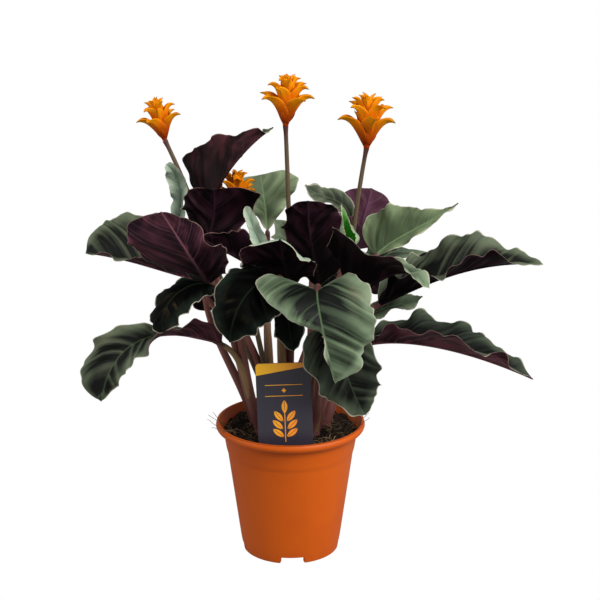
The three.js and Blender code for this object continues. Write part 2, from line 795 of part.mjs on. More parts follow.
function potGeometry() {
  const notches = Array.from({ length: NOTCH_COUNT }, (_, index) => notchTool(index));
  return cut(potBody(), notches);
}

// ---------------------------------------------------------------- soil

// Height of the soil's lumpy top at a point: a little higher in the middle of the pot.
function soilHeight(x, y) {
  const far = Math.hypot(x, y) / RIM_MOUTH_RADIUS;
  const lumps = Math.sin(x * 0.31 + 1) * Math.cos(y * 0.27) + 0.6 * Math.sin(x * 0.17 - y * 0.23);
  return SOIL_LEVEL - SOIL_SAG * far ** 3 + (SOIL_LUMP * lumps - SOIL_LUMP) * Math.min(far * 2, 1);
}

function soilBody() {
  const bottom = FLOOR_Z + FLOOR_THICKNESS + CLEARANCE;
  const inner = (z) => insideRadius(z) - 1.2 * CLEARANCE;
  const edge = SOIL_LEVEL - SOIL_SAG;
  const profile = [[0, bottom], [inner(bottom), bottom], [inner(COLLAR_LOW), COLLAR_LOW]];
  profile.push([inner(LIP_UNDER - 1), LIP_UNDER - 1], [inner(edge), edge]);
  const top = profile.length;
  [56, 45, 32, 18, 0].forEach((radius) => profile.push([radius, edge]));
  const body = lathe(profile, POT_SEGMENTS);
  const places = body.attributes.position;
  for (let i = 0; i < places.count; i += 1) {
    if (i % profile.length >= top) {
      places.setZ(i, soilHeight(places.getX(i), places.getY(i)));
    }
  }
  return body;
}

function shootHole(place) {
  const bottom = SOIL_LEVEL - SHOOT_DEPTH - CLEARANCE;
  const radius = SHOOT_RADIUS + CLEARANCE;
  const hole = lathe([[0, bottom], [radius, bottom], [radius, SOIL_LEVEL + 9], [0, SOIL_LEVEL + 9]], CROWN_SEGMENTS);
  return hole.translate(place.x, place.y, 0);
}

// A slot that reaches a depth below the label's card.
function labelSlot(width, depth) {
  const high = depth + 8;
  const slot = new THREE.BoxGeometry(width + 2 * CLEARANCE, LABEL_THICKNESS + 2 * CLEARANCE, high);
  return placeLabel(slot.translate(0, 0, high / 2 - depth));
}

function soilGeometry() {
  const slots = [labelSlot(LABEL_STAKE_WIDTH, LABEL_STAKE_DEPTH + CLEARANCE), labelSlot(LABEL_WIDTH, CLEARANCE)];
  return cut(soilBody(), [...Object.values(SHOOTS).map(shootHole), ...slots]);
}

// ---------------------------------------------------------------- label

// The label leans a little to the left, and its own origin is where its stake meets the card.
function placeLabel(geometry) {
  return geometry.rotateY(-LABEL_TILT).translate(LABEL_PLACE.x, LABEL_PLACE.y, LABEL_BOTTOM);
}

function labelGeometry() {
  const half = LABEL_WIDTH / 2;
  const high = LABEL_TOP - LABEL_BOTTOM;
  const stake = LABEL_STAKE_WIDTH / 2;
  const shape = new THREE.Shape();
  shape.moveTo(-stake + 3, -LABEL_STAKE_DEPTH);
  shape.lineTo(stake - 3, -LABEL_STAKE_DEPTH);
  shape.lineTo(stake, -LABEL_STAKE_DEPTH + 5);
  shape.lineTo(stake, 0);
  shape.lineTo(half, 3);
  shape.lineTo(half, high - LABEL_CORNER);
  shape.absarc(half - LABEL_CORNER, high - LABEL_CORNER, LABEL_CORNER, 0, Math.PI / 2, false);
  shape.lineTo(-half + LABEL_CORNER, high);
  shape.absarc(-half + LABEL_CORNER, high - LABEL_CORNER, LABEL_CORNER, Math.PI / 2, Math.PI, false);
  shape.lineTo(-half, 3);
  shape.lineTo(-stake, 0);
  shape.lineTo(-stake, -LABEL_STAKE_DEPTH + 5);
  shape.closePath();
  const card = new THREE.ExtrudeGeometry(shape, {
    depth: LABEL_THICKNESS,
    bevelEnabled: false,
    curveSegments: 4,
  });
  card.translate(0, 0, -LABEL_THICKNESS / 2).rotateX(Math.PI / 2);
  return fromSolid(toSolid(placeLabel(card)));
}

// ---------------------------------------------------------------- shoots with their stalks

function crown(place) {
  const profile = [
    [0, SOIL_LEVEL - SHOOT_DEPTH],
    [SHOOT_RADIUS, SOIL_LEVEL - SHOOT_DEPTH],
    [SHOOT_RADIUS, place.z + 2],
    [SHOOT_NECK_RADIUS, SHOOT_NECK_TOP],
    [0, SHOOT_NECK_TOP + 3],
  ];
  return lathe(profile, CROWN_SEGMENTS).translate(place.x, place.y, 0);
}

function stalkCurve(bloom) {
  const place = SHOOTS[bloom.shoot];
  const root = place.clone().add(new THREE.Vector3(0, 3, 0));
  return curveThrough([root, ...bloom.path]);
}

function flowerStalk(bloom) {
  const radius = (t) => mix(STALK_ROOT_RADIUS, STALK_TIP_RADIUS, t);
  return stem(stalkCurve(bloom), STALK_STEPS, PETIOLE_SIDES, radius);
}

function shootGeometry(name) {
  const petioles = LEAVES.filter((leaf) => leaf.shoot === name).map((leaf) => petiole(leaf, SHOOTS[name]));
  const stalks = BLOOMS.filter((bloom) => bloom.shoot === name).map(flowerStalk);
  return fuse([crown(SHOOTS[name]), ...petioles, ...stalks]);
}

// ---------------------------------------------------------------- blades and blooms

function bladeGeometry(leaf) {
  const small = leaf.half < SMALL_BLADE;
  const [rows, columns] = small ? [SMALL_ROWS, SMALL_COLUMNS] : [BLADE_ROWS, BLADE_COLUMNS];
  return sheet(bladeGrid(leaf, rows, columns), BLADE_THICKNESS);
}

// One bract of a bloom, numbered up the spiral from the lowest.
function bract(index) {
  const up = index / (BRACTS - 1);
  const turn = index * GOLDEN_ANGLE;
  const outward = new THREE.Vector3(Math.cos(turn), Math.sin(turn), 0);
  const rib = BRACT_PATH.map(({ radius, height }) => {
    const point = outward.clone().multiplyScalar(along(radius, up));
    return point.setZ(along(height, up)).toArray();
  });
  const shape = {
    rib,
    face: [[-outward.x, -outward.y, 0.4], [-0.3 * outward.x, -0.3 * outward.y, 1]],
    half: along(BRACT_HALF, up),
    fold: [32, 12, 32, 12],
    curl: [20, 0, 20, 0],
    wave: [0, 1, 0, 0],
    sweep: [0, 0.3],
    shape: [0.45, 0.95],
  };
  return sheet(bladeGrid(shape, BRACT_ROWS, BRACT_COLUMNS), BRACT_THICKNESS);
}

function bloomGeometry(bloom) {
  const bracts = Array.from({ length: BRACTS }, (_, index) => bract(index));
  const head = fuse([lathe(BLOOM_CORE, CORE_SEGMENTS), ...bracts]);
  const top = vector(bloom.path[2]);
  head.rotateZ(THREE.MathUtils.degToRad(bloom.turn));
  head.scale(bloom.size, bloom.size, bloom.size);
  head.rotateY(THREE.MathUtils.degToRad(bloom.lean));
  const lift = 1.5 * bloom.size + 2 * CLEARANCE;
  const tilt = THREE.MathUtils.degToRad(bloom.lean);
  return head.translate(top.x + lift * Math.sin(tilt), top.y, top.z + lift * Math.cos(tilt));
}

// ---------------------------------------------------------------- assembly

const plant = new THREE.Group();

function addPiece(name, geometry, material) {
  const mesh = new THREE.Mesh(geometry, material);
  mesh.name = name;
  plant.add(mesh);
}

const number = (index) => String(index + 1).padStart(2, '0');

addPiece('pot', potGeometry(), FINISHES.pot());
addPiece('soil', soilGeometry(), FINISHES.soil());
addPiece('label', labelGeometry(), FINISHES.label());
Object.keys(SHOOTS).forEach((name) => addPiece(`shoot_${name}`, shootGeometry(name), FINISHES.stem()));
LEAVES.forEach((leaf, index) => addPiece(`leaf_${number(index)}`, bladeGeometry(leaf), FINISHES.leaf()));
BLOOMS.forEach((bloom, index) => addPiece(`bloom_${index + 1}`, bloomGeometry(bloom), FINISHES.bloom()));

export default plant;
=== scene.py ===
"""The looks of a potted flowering foliage plant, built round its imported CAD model.

Lengths in the tables are millimetres in the frame of the CAD model: +Z up, -Y towards the front,
and the origin at the middle of the pot's underside. Meshes are made in metres.
"""

import logging
import math
from collections.abc import Sequence
from dataclasses import dataclass, field
from enum import Enum
from functools import cache

import bpy
import numpy as np
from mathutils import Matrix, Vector, noise


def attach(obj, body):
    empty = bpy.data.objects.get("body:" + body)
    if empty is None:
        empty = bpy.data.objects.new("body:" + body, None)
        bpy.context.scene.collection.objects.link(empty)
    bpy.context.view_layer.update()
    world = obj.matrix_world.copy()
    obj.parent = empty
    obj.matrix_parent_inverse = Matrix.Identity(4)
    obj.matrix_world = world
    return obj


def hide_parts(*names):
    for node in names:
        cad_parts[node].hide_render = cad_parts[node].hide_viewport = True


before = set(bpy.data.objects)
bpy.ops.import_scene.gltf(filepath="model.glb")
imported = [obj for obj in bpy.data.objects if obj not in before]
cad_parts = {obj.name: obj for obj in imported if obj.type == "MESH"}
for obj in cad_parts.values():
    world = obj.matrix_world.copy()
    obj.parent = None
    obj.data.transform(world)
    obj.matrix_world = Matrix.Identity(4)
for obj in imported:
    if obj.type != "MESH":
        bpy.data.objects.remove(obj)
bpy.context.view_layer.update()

MM = 0.001
BODY = "root"
REPORT = logging.getLogger("plant")

Point = tuple[float, float, float]
Colour = tuple[float, float, float, float]


class Slot(Enum):
    """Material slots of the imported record."""

    POT = "pot"
    SOIL = "soil"
    LABEL = "label"
    STEM = "stem"
    LEAF = "leaf"
    BLOOM = "bloom"


class Tone(Enum):
    """The upper face of a leaf: ridges, creases, border, how veins show, its shine, lighter to the tip."""

    # The tones from BLACK to PALE are partly each leaf's own darker or paler green and partly painted shade
    # and painted light: dark for leaves in shade, pale for leaves in light. YOUNG is a young leaf's own
    # bright green.
    BLACK = ("#040604", "#010101", "#1b231d", 0.04, 0.03, 0.0)
    DUSK = ("#292f26", "#050605", "#475242", 0.12, 0.07, 0.0)
    DARK = ("#4a5140", "#070906", "#5f6a54", 0.2, 0.09, -0.3)
    MID = ("#4f5e47", "#060906", "#7b8c70", 0.35, 0.14, 0.5)
    LIGHT = ("#586648", "#3f4c33", "#6c7c5a", 0.75, 0.14, 0.0)
    SAGE = ("#748363", "#536247", "#8b9a78", 0.75, 0.14, 0.0)
    PALE = ("#8b9c87", "#5f7064", "#a3b29c", 0.5, 0.2, 0.0)
    YOUNG = ("#6fc74c", "#469b34", "#a5c48f", 0.4, 0.2, 0.0)


class Back(Enum):
    """The underside of a leaf: between its veins, on them, where it shines, how much, and its shade."""

    # The darker backs such as DEEP and the lighter WARM differ partly by the underside's own colour and
    # partly as painted shade and painted light. The third colour of each is a painted sheen, and the last
    # value lays painted shade on the half towards the base.
    DEEP = ("#080405", "#281620", "#28131c", 0.05, 0.85)
    WARM = ("#28121a", "#7a4d54", "#5f333d", 0.12, 0.0)
    DUSK = ("#21101a", "#70464f", "#4f2a36", 0.1, 0.8)
    SHEATH = ("#6f8163", "#8b9d7d", "#849775", 0.12, 0.0)
    WINE = ("#12080a", "#3a1d20", "#3f2024", 0.05, 0.55)
    PLUM = ("#3b1c29", "#5a3648", "#4a273a", 0.12, 0.0)


def colour(code: str) -> Colour:
    """Turn a web colour into linear red, green, blue and alpha."""
    shares = [int(code[i:i + 2], 16) / 255 for i in (1, 3, 5)]
    linear = [s / 12.92 if s <= 0.04045 else ((s + 0.055) / 1.055) ** 2.4 for s in shares]
    return (*linear, 1.0)


# ------------------------------------------------------------------ curves and grids


def unit(vectors: np.ndarray) -> np.ndarray:
    """Return the vectors scaled to a length of one."""
    return vectors / np.maximum(np.linalg.norm(vectors, axis=-1, keepdims=True), 1e-9)


def mix(start: float, end: float, t: np.ndarray | float) -> np.ndarray | float:
    """Return the value a share t of the way from start to end."""
    return start + (end - start) * t


def smooth(values: np.ndarray, low: float, high: float) -> np.ndarray:
    """Return a smooth step from 0 at low to 1 at high."""
    t = np.clip((values - low) / (high - low), 0, 1)
    return t * t * (3 - 2 * t)


@dataclass(frozen=True)
class Path:
    """A cubic curve, held as its four control points in millimetres."""

    control: np.ndarray

    @classmethod
    def through(cls, points: Sequence[Sequence[float]]) -> "Path":
        """Make the curve that passes four points at even steps."""
        a, b, c, d = np.asarray(points, float)
        near = (-5 * a + 18 * b - 9 * c + 2 * d) / 6
        far = (2 * a - 9 * b + 18 * c - 5 * d) / 6
        return cls(np.array([a, near, far, d]))

    def at(self, t: np.ndarray) -> np.ndarray:
        """Return the points at the shares t."""
        t = np.atleast_1d(t)[:, None]
        a, b, c, d = self.control
        return a * (1 - t) ** 3 + 3 * b * (1 - t) ** 2 * t + 3 * c * (1 - t) * t * t + d * t ** 3

    def heading(self, t: np.ndarray) -> np.ndarray:
        """Return the unit direction of travel at the shares t."""
        t = np.atleast_1d(t)[:, None]
        a, b, c, d = self.control
        return unit((b - a) * (1 - t) ** 2 + 2 * (c - b) * (1 - t) * t + (d - c) * t * t)

    def length(self) -> float:
        """Return the length of the curve."""
        points = self.at(np.linspace(0, 1, 60))
        return float(np.linalg.norm(np.diff(points, axis=0), axis=1).sum())


def along(values: Sequence[float], t: np.ndarray) -> np.ndarray:
    """Return smooth values along evenly spaced ones.

    Args:
        values: Two or more values, the first at 0 and the last at 1.
        t: Shares from 0 to 1.

    Returns:
        An array of the shape of t.
    """
    v = np.asarray(values, float)
    last = len(v) - 1
    if last == 1:
        return v[0] * (1 - t) + v[1] * t
    i = np.minimum((t * last).astype(int), last - 1)
    f = t * last - i
    ends = np.concatenate([[2 * v[0] - v[1]], v, [2 * v[-1] - v[-2]]])
    a, b, c, d = ends[i], ends[i + 1], ends[i + 2], ends[i + 3]
    return b + 0.5 * f * (c - a + f * (2 * a - 5 * b + 4 * c - d + f * (3 * (b - c) + d - a)))


def grid_normals(grid: np.ndarray) -> np.ndarray:
    """Return the direction that the upper face of a grid looks in, at each of its points."""
    return unit(np.cross(np.gradient(grid, axis=1), np.gradient(grid, axis=0)))


# ------------------------------------------------------------------ meshes


@dataclass
class Shell:
    """Points and faces of a mesh, with values at its points and a finish for each face."""

    points: np.ndarray
    faces: list[Sequence[int]]
    values: dict[str, np.ndarray] = field(default_factory=dict)
    finish: np.ndarray | None = None

    def build(self, name: str, materials: Sequence[bpy.types.Material]) -> bpy.types.Object:
        """Make a smooth mesh object of the shell.

        Args:
            name: Name of the piece.
            materials: Materials that the shell's finish numbers count in.

        Returns:
            The object, at the origin.
        """
        mesh = bpy.data.meshes.new(name)
        mesh.from_pydata((self.points * MM).tolist(), [], [tuple(face) for face in self.faces])
        for material in materials:
            mesh.materials.append(material)
        if self.finish is not None:
            mesh.polygons.foreach_set("material_index", self.finish.astype(np.int32))
        for label, numbers in self.values.items():
            layer = mesh.attributes.new(label, "FLOAT", "POINT")
            layer.data.foreach_set("value", np.asarray(numbers, np.float32).ravel())
        mesh.polygons.foreach_set("use_smooth", np.ones(len(mesh.polygons), bool))
        mesh.update()
        piece = bpy.data.objects.new(name, mesh)
        bpy.context.scene.collection.objects.link(piece)
        return piece


def joined(shells: Sequence[Shell]) -> Shell:
    """Return several shells as one of a single finish, with the values that the first one has."""
    starts = np.cumsum([0] + [len(shell.points) for shell in shells])
    faces = [[i + int(start) for i in face] for shell, start in zip(shells, starts) for face in shell.faces]
    values = {name: np.concatenate([s.values[name].ravel() for s in shells]) for name in shells[0].values}
    return Shell(np.concatenate([shell.points for shell in shells]), faces, values)


def sheet(upper: np.ndarray, under: np.ndarray, values: dict[str, np.ndarray]) -> Shell:
    """Close two grids of points into one sheet.

    Args:
        upper: Rows of points of the upper face, from base to tip.
        under: The matching points of the underside.
        values: Values at the points, alike on both faces.

    Returns:
        A shell whose upper faces have finish 0 and whose others have finish 1.
    """
    rows, columns = upper.shape[0] - 1, upper.shape[1] - 1
    index = np.arange(upper.shape[0] * upper.shape[1]).reshape(upper.shape[:2])
    back = index.size
    a, b, c, d = (x.ravel() for x in (index[:-1, :-1], index[:-1, 1:], index[1:, 1:], index[1:, :-1]))
    ring = np.concatenate([index[0, :-1], index[:-1, -1], index[-1, :0:-1], index[:0:-1, 0]])
    after = np.roll(ring, -1)
    quads = np.concatenate([
        np.stack([a, b, c, d], 1),
        np.stack([a, d, c, b], 1) + back,
        np.stack([ring, ring + back, after + back, after], 1),
    ])
    finish = np.ones(len(quads), int)
    finish[:rows * columns] = 0
    doubled = {name: np.concatenate([v.ravel(), v.ravel()]) for name, v in values.items()}
    points = np.concatenate([upper.reshape(-1, 3), under.reshape(-1, 3)])
    return Shell(points, quads.tolist(), doubled, finish)


def rounded(profile: Sequence[tuple[float, float, float]], steps: int = 5) -> np.ndarray:
    """Round the corners of a profile.

    Args:
        profile: Radius, height and corner radius of each corner.
        steps: Points in each rounded corner.

    Returns:
        Radius and height of each point of the rounded profile.
    """
    corners = np.array([corner[:2] for corner in profile], float)
    points = []
    for i, (corner, reach) in enumerate(zip(corners, (row[2] for row in profile))):
        if not reach or i in (0, len(corners) - 1):
            points.append(corner)
            continue
        start = corner + unit(corners[i - 1] - corner) * reach
        end = corner + unit(corners[i + 1] - corner) * reach
        for t in np.linspace(0, 1, steps):
            points.append(start * (1 - t) ** 2 + 2 * corner * (1 - t) * t + end * t * t)
    return np.array(points)


def revolve(profile: np.ndarray, angles: np.ndarray) -> Shell:
    """Turn a profile round the Z axis into a closed body.

    Args:
        profile: Radius and height of each point, from the axis below out and back to the axis above.
        angles: Angles of the seams, growing, in radians.

    Returns:
        The shell. Its first point is the lower pole and its last the upper one.
    """
    inner = profile[1:-1]
    rings = np.stack([
        inner[:, None, 0] * np.cos(angles), inner[:, None, 0] * np.sin(angles),
        np.repeat(inner[:, 1:], len(angles), 1),
    ], -1)
    points = np.concatenate([[[0, 0, profile[0, 1]]], rings.reshape(-1, 3), [[0, 0, profile[-1, 1]]]])
    count, last = len(angles), len(points) - 1
    faces: list[Sequence[int]] = []
    for j in range(count):
        k = (j + 1) % count
        faces.append((0, 1 + k, 1 + j))
        for i in range(len(inner) - 1):
            low, high = 1 + i * count, 1 + (i + 1) * count
            faces.append((low + j, low + k, high + k, high + j))
        top = 1 + (len(inner) - 1) * count
        faces.append((top + j, top + k, last))
    return Shell(points, faces)


def adopt(piece: bpy.types.Object, slot: Slot, *nodes: str) -> bpy.types.Object:
    """Let a piece ride on the body and stand for its CAD nodes, and report it, with its slot where it stands
    for none.
    """
    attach(piece, BODY)
    if nodes:
        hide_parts(*nodes)
    REPORT.info("%s: %d faces for %s", piece.name, len(piece.data.polygons), ", ".join(nodes) or slot.value)
    return piece


# ------------------------------------------------------------------ nodes


class NodeSheet:
    """A tree of nodes that is filled in through one method."""

    def __init__(self, tree: bpy.types.NodeTree) -> None:
        """Take the tree to fill in."""
        self.tree = tree

    def feed(self, socket: bpy.types.NodeSocket, value: object) -> None:
        """Link a socket to another one, or set its value."""
        value = value.socket if isinstance(value, Term) else value
        if isinstance(value, bpy.types.NodeSocket):
            self.tree.links.new(value, socket)
        else:
            socket.default_value = value

    def node(self, kind: str, settings: dict | None = None, inputs: dict | None = None) -> bpy.types.Node:
        """Add a node.

        Args:
            kind: Type of the node.
            settings: Its properties.
            inputs: Values or links of its sockets, by name or number.

        Returns:
            The node.
        """
        made = self.tree.nodes.new(kind)
        for name, value in (settings or {}).items():
            setattr(made, name, value)
        for name, value in (inputs or {}).items():
            self.feed(made.inputs[name], value)
        return made


class Term:
    """A number that changes over a surface. Arithmetic on it adds Math nodes."""

    def __init__(self, sheet_of: NodeSheet, socket: bpy.types.NodeSocket) -> None:
        """Wrap the socket that gives the number."""
        self.sheet = sheet_of
        self.socket = socket

    def _math(self, operation: str, *others: "Term | float") -> "Term":
        """Add one Math node of this term and others."""
        inputs = dict(enumerate((self, *others)))
        made = self.sheet.node("ShaderNodeMath", {"operation": operation}, inputs)
        return Term(self.sheet, made.outputs[0])

    def __add__(self, other: "Term | float") -> "Term":
        """Add."""
        return self._math("ADD", other)

    __radd__ = __add__

    def __sub__(self, other: "Term | float") -> "Term":
        """Subtract."""
        return self._math("SUBTRACT", other)

    def __rsub__(self, other: float) -> "Term":
        """Subtract this term from a number."""
        return self._math("MULTIPLY", -1.0)._math("ADD", other)

    def __mul__(self, other: "Term | float") -> "Term":
        """Multiply."""
        return self._math("MULTIPLY", other)

    def __truediv__(self, other: "Term | float") -> "Term":
        """Divide."""
        return self._math("DIVIDE", other)

    def __abs__(self) -> "Term":
        """Drop the sign."""
        return self._math("ABSOLUTE")

    def sine(self) -> "Term":
        """Return the sine."""
        return self._math("SINE")

    def highest(self, other: "Term | float") -> "Term":
        """Return the greater of two."""
        return self._math("MAXIMUM", other)

    def step(self, low: float, high: float) -> "Term":
        """Return a smooth step from 0 at low to 1 at high, or down where low is the greater."""
        down = low > high
        made = self.sheet.node(
            "ShaderNodeMapRange",
            {"interpolation_type": "SMOOTHSTEP"},
            {0: self, 1: min(low, high), 2: max(low, high), 3: float(down), 4: float(not down)},
        )
        return Term(self.sheet, made.outputs[0])


class Shading(NodeSheet):
    """The node tree of one material, round a Principled shader."""

    def __init__(self, name: str, **constants: float) -> None:
        """Start a material.

        Args:
            name: Name of the material.
            constants: Values set on the shader's own sockets, with _ for a space.
        """
        self.material = bpy.data.materials.new(name)
        self.material.use_nodes = True
        super().__init__(self.material.node_tree)
        self.tree.nodes.clear()
        named = {key.replace("_", " "): value for key, value in constants.items()}
        self.shader = self.node("ShaderNodeBsdfPrincipled", inputs=named)
        self.output = self.node("ShaderNodeOutputMaterial", inputs={"Surface": self.shader.outputs[0]})

    def attribute(self, name: str) -> Term:
        """Read a value that the mesh holds at its points."""
        made = self.node("ShaderNodeAttribute", {"attribute_name": name})
        return Term(self, made.outputs["Fac"])

    def place(self) -> bpy.types.NodeSocket:
        """Read the object coordinates, in metres."""
        return self.node("ShaderNodeTexCoord").outputs["Object"]

    def vector(self, *parts: Term | float) -> bpy.types.NodeSocket:
        """Join three numbers into a vector."""
        return self.node("ShaderNodeCombineXYZ", inputs=dict(enumerate(parts))).outputs[0]

    def noise(self, scale: float, detail: float, vector: object = None) -> Term:
        """Add a noise pattern from 0 to 1 over a vector, or over the object's own coordinates."""
        inputs = {"Vector": vector or self.place(), "Scale": scale, "Detail": detail}
        return Term(self, self.node("ShaderNodeTexNoise", inputs=inputs).outputs[0])

    def blend(self, factor: Term, start: object, end: object) -> bpy.types.NodeSocket:
        """Mix two colours, each a web colour or a link."""
        pair = [colour(c) if isinstance(c, str) else c for c in (start, end)]
        settings = {"data_type": "RGBA", "clamp_factor": True}
        # the node's colour sockets are its inputs 6 and 7 and its output 2
        made = self.node("ShaderNodeMix", settings, {0: factor, 6: pair[0], 7: pair[1]})
        return made.outputs[2]

    def finish(
        self, base: object, roughness: Term | None = None, height: Term | None = None, depth: float = 0.0
    ) -> bpy.types.Material:
        """Connect the pattern to the shader.

        Args:
            base: Colour or link for Base Color.
            roughness: What changes the roughness.
            height: Relief from 0 to 1 for a Bump node.
            depth: Depth of the relief in millimetres.

        Returns:
            The material.
        """
        self.feed(self.shader.inputs["Base Color"], colour(base) if isinstance(base, str) else base)
        if roughness is not None:
            self.feed(self.shader.inputs["Roughness"], roughness)
        if height is not None:
            bump = self.node("ShaderNodeBump", inputs={"Distance": depth * MM, "Height": height})
            self.feed(self.shader.inputs["Normal"], bump.outputs[0])
        return self.material


class Growth(NodeSheet):
    """A Geometry Nodes tree with named inputs, run once on an object."""

    def __init__(self, name: str, sizes: dict[str, tuple[str, object]]) -> None:
        """Start a tree.

        Args:
            name: Name of the tree.
            sizes: Socket type and value of each named input.
        """
        super().__init__(bpy.data.node_groups.new(name, "GeometryNodeTree"))
        self.values: dict[str, object] = {}
        face = self.tree.interface
        face.new_socket("Geometry", in_out="OUTPUT", socket_type="NodeSocketGeometry")
        face.new_socket("Geometry", in_out="INPUT", socket_type="NodeSocketGeometry")
        for label, (kind, value) in sizes.items():
            socket = face.new_socket(label, in_out="INPUT", socket_type=kind)
            self.values[socket.identifier] = value
        self.given = self.node("NodeGroupInput").outputs

    def end(self, geometry: bpy.types.NodeSocket) -> None:
        """Realize the instances, set the material and lead the geometry out."""
        real = self.node("GeometryNodeRealizeInstances", inputs={"Geometry": geometry})
        dressed = self.node(
            "GeometryNodeSetMaterial", inputs={"Geometry": real.outputs[0], "Material": self.given["Finish"]}
        )
        self.node("NodeGroupOutput", inputs={0: dressed.outputs[0]})

    def grow(self, seedling: bpy.types.Object, name: str) -> bpy.types.Object:
        """Run the tree on an object and keep the result as a plain mesh.

        Args:
            seedling: Object that the tree starts from. It is removed.
            name: Name of the piece.

        Returns:
            The piece, at the origin.
        """
        modifier = seedling.modifiers.new(self.tree.name, "NODES")
        modifier.node_group = self.tree
        for identifier, value in self.values.items():
            modifier[identifier] = value
        depsgraph = bpy.context.evaluated_depsgraph_get()
        grown = seedling.evaluated_get(depsgraph)
        mesh = bpy.data.meshes.new_from_object(grown, preserve_all_data_layers=True, depsgraph=depsgraph)
        seedling.modifiers.remove(modifier)
        bpy.data.objects.remove(seedling)
        mesh.name = name
        piece = bpy.data.objects.new(name, mesh)
        bpy.context.scene.collection.objects.link(piece)
        return piece


@dataclass
class Strand:
    """A line of points with a radius at each, in millimetres, and values for its finish."""

    points: np.ndarray
    girth: np.ndarray
    blush: float = 0.0
    rise: np.ndarray | None = None


@dataclass
class Strands:
    """Round stalks, roots or fibres, each swept along its own line."""

    sides: int
    finish: bpy.types.Material

    def tree(self) -> Growth:
        """Make the tree that sweeps a circle along every line of a mesh."""
        grown = Growth("swept_strands", {
            "Sides": ("NodeSocketInt", self.sides),
            "Radius": ("NodeSocketFloat", MM),
            "Finish": ("NodeSocketMaterial", self.finish),
        })
        girth = grown.node("GeometryNodeInputNamedAttribute", {"data_type": "FLOAT"}, {"Name": "girth"})
        lines = grown.node("GeometryNodeMeshToCurve", inputs={"Mesh": grown.given["Geometry"]})
        ring = grown.node(
            "GeometryNodeCurvePrimitiveCircle",
            inputs={"Resolution": grown.given["Sides"], "Radius": grown.given["Radius"]},
        )
        tube = grown.node("GeometryNodeCurveToMesh", inputs={
            "Curve": lines.outputs[0], "Profile Curve": ring.outputs[0],
            "Scale": girth.outputs[0], "Fill Caps": True,
        })
        smoothed = grown.node("GeometryNodeSetShadeSmooth", inputs={"Geometry": tube.outputs[0]})
        grown.end(smoothed.outputs[0])
        return grown

    def build(self, name: str, strands: Sequence[Strand]) -> bpy.types.Object:
        """Sweep the strands into one piece.

        Args:
            name: Name of the piece.
            strands: Lines to sweep.

        Returns:
            The piece, at the origin.
        """
        points = np.concatenate([strand.points for strand in strands]) * MM
        edges, start = [], 0
        for strand in strands:
            edges += [(start + i, start + i + 1) for i in range(len(strand.points) - 1)]
            start += len(strand.points)
        mesh = bpy.data.meshes.new(name + "_lines")
        mesh.from_pydata(points.tolist(), edges, [])
        rises = [s.rise if s.rise is not None else np.linspace(0, 1, len(s.points)) for s in strands]
        columns = {
            "girth": np.concatenate([strand.girth for strand in strands]),
            "blush": np.concatenate([np.full(len(strand.points), strand.blush) for strand in strands]),
            "rise": np.concatenate(rises),
        }
        for label, numbers in columns.items():
            layer = mesh.attributes.new(label, "FLOAT", "POINT")
            layer.data.foreach_set("value", numbers.astype(np.float32))
        lines = bpy.data.objects.new(name + "_lines", mesh)
        bpy.context.scene.collection.objects.link(lines)
        return self.tree().grow(lines, name)


# ------------------------------------------------------------------ finishes


@dataclass(frozen=True)
class LeafSkin:
    """The upper face of a leaf: broad ridges lit and shaded in paint, dark creases between them partly in
    painted shade, a midrib and a margin.
    """

    tone: Tone
    midrib: str = "#7d9a6c"
    margin: str = "#a8a28f"
    # the brown of the painted sheen
    blush: str = "#5b4d38"

    @cache
    def make(self) -> bpy.types.Material:
        """Make the material."""
        ridge, crease, border, shown, shine, fade = self.tone.value
        skin = Shading(f"leaf_upper_{self.tone.name.lower()}", Specular_IOR_Level=shine)
        vein, rib, edge, run = (skin.attribute(name) for name in ("vein", "rib", "edge", "run"))
        # out goes from 0 on the midrib to 1 on the margin, and crest from 0 in a crease to 1 on a ridge
        out = rib / (rib + edge)
        crest = abs((vein * math.pi).sine())
        # painted light and shade: each ridge is lighter on one side and darker on the other, as a light from
        # one side would show it
        painted_ridge_light = (vein * (2 * math.pi) + 0.6).sine()
        stripe = (vein * (8 * math.pi)).sine()
        grain = skin.noise(1.0, 2, skin.vector(vein * 7, out * 1.6, 0.0))
        broad = skin.noise(1.0, 2, skin.vector(vein * 0.7, out * 1.3, 4.0))
        cloud = skin.noise(30, 3)
        # body goes from the crease's colour at 0 past the ridge's at 1 to the border's at 2; the dark creases
        # are partly the leaf's own colour and partly painted shade
        # the middle near the base is darker, partly the leaf's own dark centre and partly painted shade from
        # the leaves above
        centre_tone_and_shade = out.step(0.85, 0.1) * run.step(0.65, 0.05)
        body = crest.step(0.0, 0.75) * 0.75 + painted_ridge_light * 0.36 + stripe * 0.06 + out.step(0.3, 0.95) * 0.55
        body = body - centre_tone_and_shade * 0.8 + (grain - 0.5) * 0.5 + (broad - 0.5) * 1.6 - 0.25 + run * run * fade
        base = skin.blend(body - 1.0, skin.blend(body, crease, ridge), border)
        # painted brown sheen in patches on the lighter ridges, then the pale rim, the side veins, the midrib
        # and the line of the margin
        sheen = broad.step(0.45, 0.7) * cloud.step(0.4, 0.7) * body.step(0.1, 0.7)
        base = skin.blend(sheen * 0.45, base, self.blush)
        base = skin.blend(edge.step(13.0, 0.5) * (cloud * 1.2).step(0.3, 0.8) * 0.75, base, border)
        base = skin.blend(crest.step(0.08, 0.02) * (shown * shown * 0.6), base, self.midrib)
        base = skin.blend(rib.step(1.1, 0.5) * (1 - run * 0.6) * shown, base, self.midrib)
        base = skin.blend(edge.step(1.1, 0.5) * 0.65, base, self.margin)
        return skin.finish(base, 0.46 + grain * 0.14 + cloud * 0.1, grain * 0.7 + stripe * 0.2, 0.12)


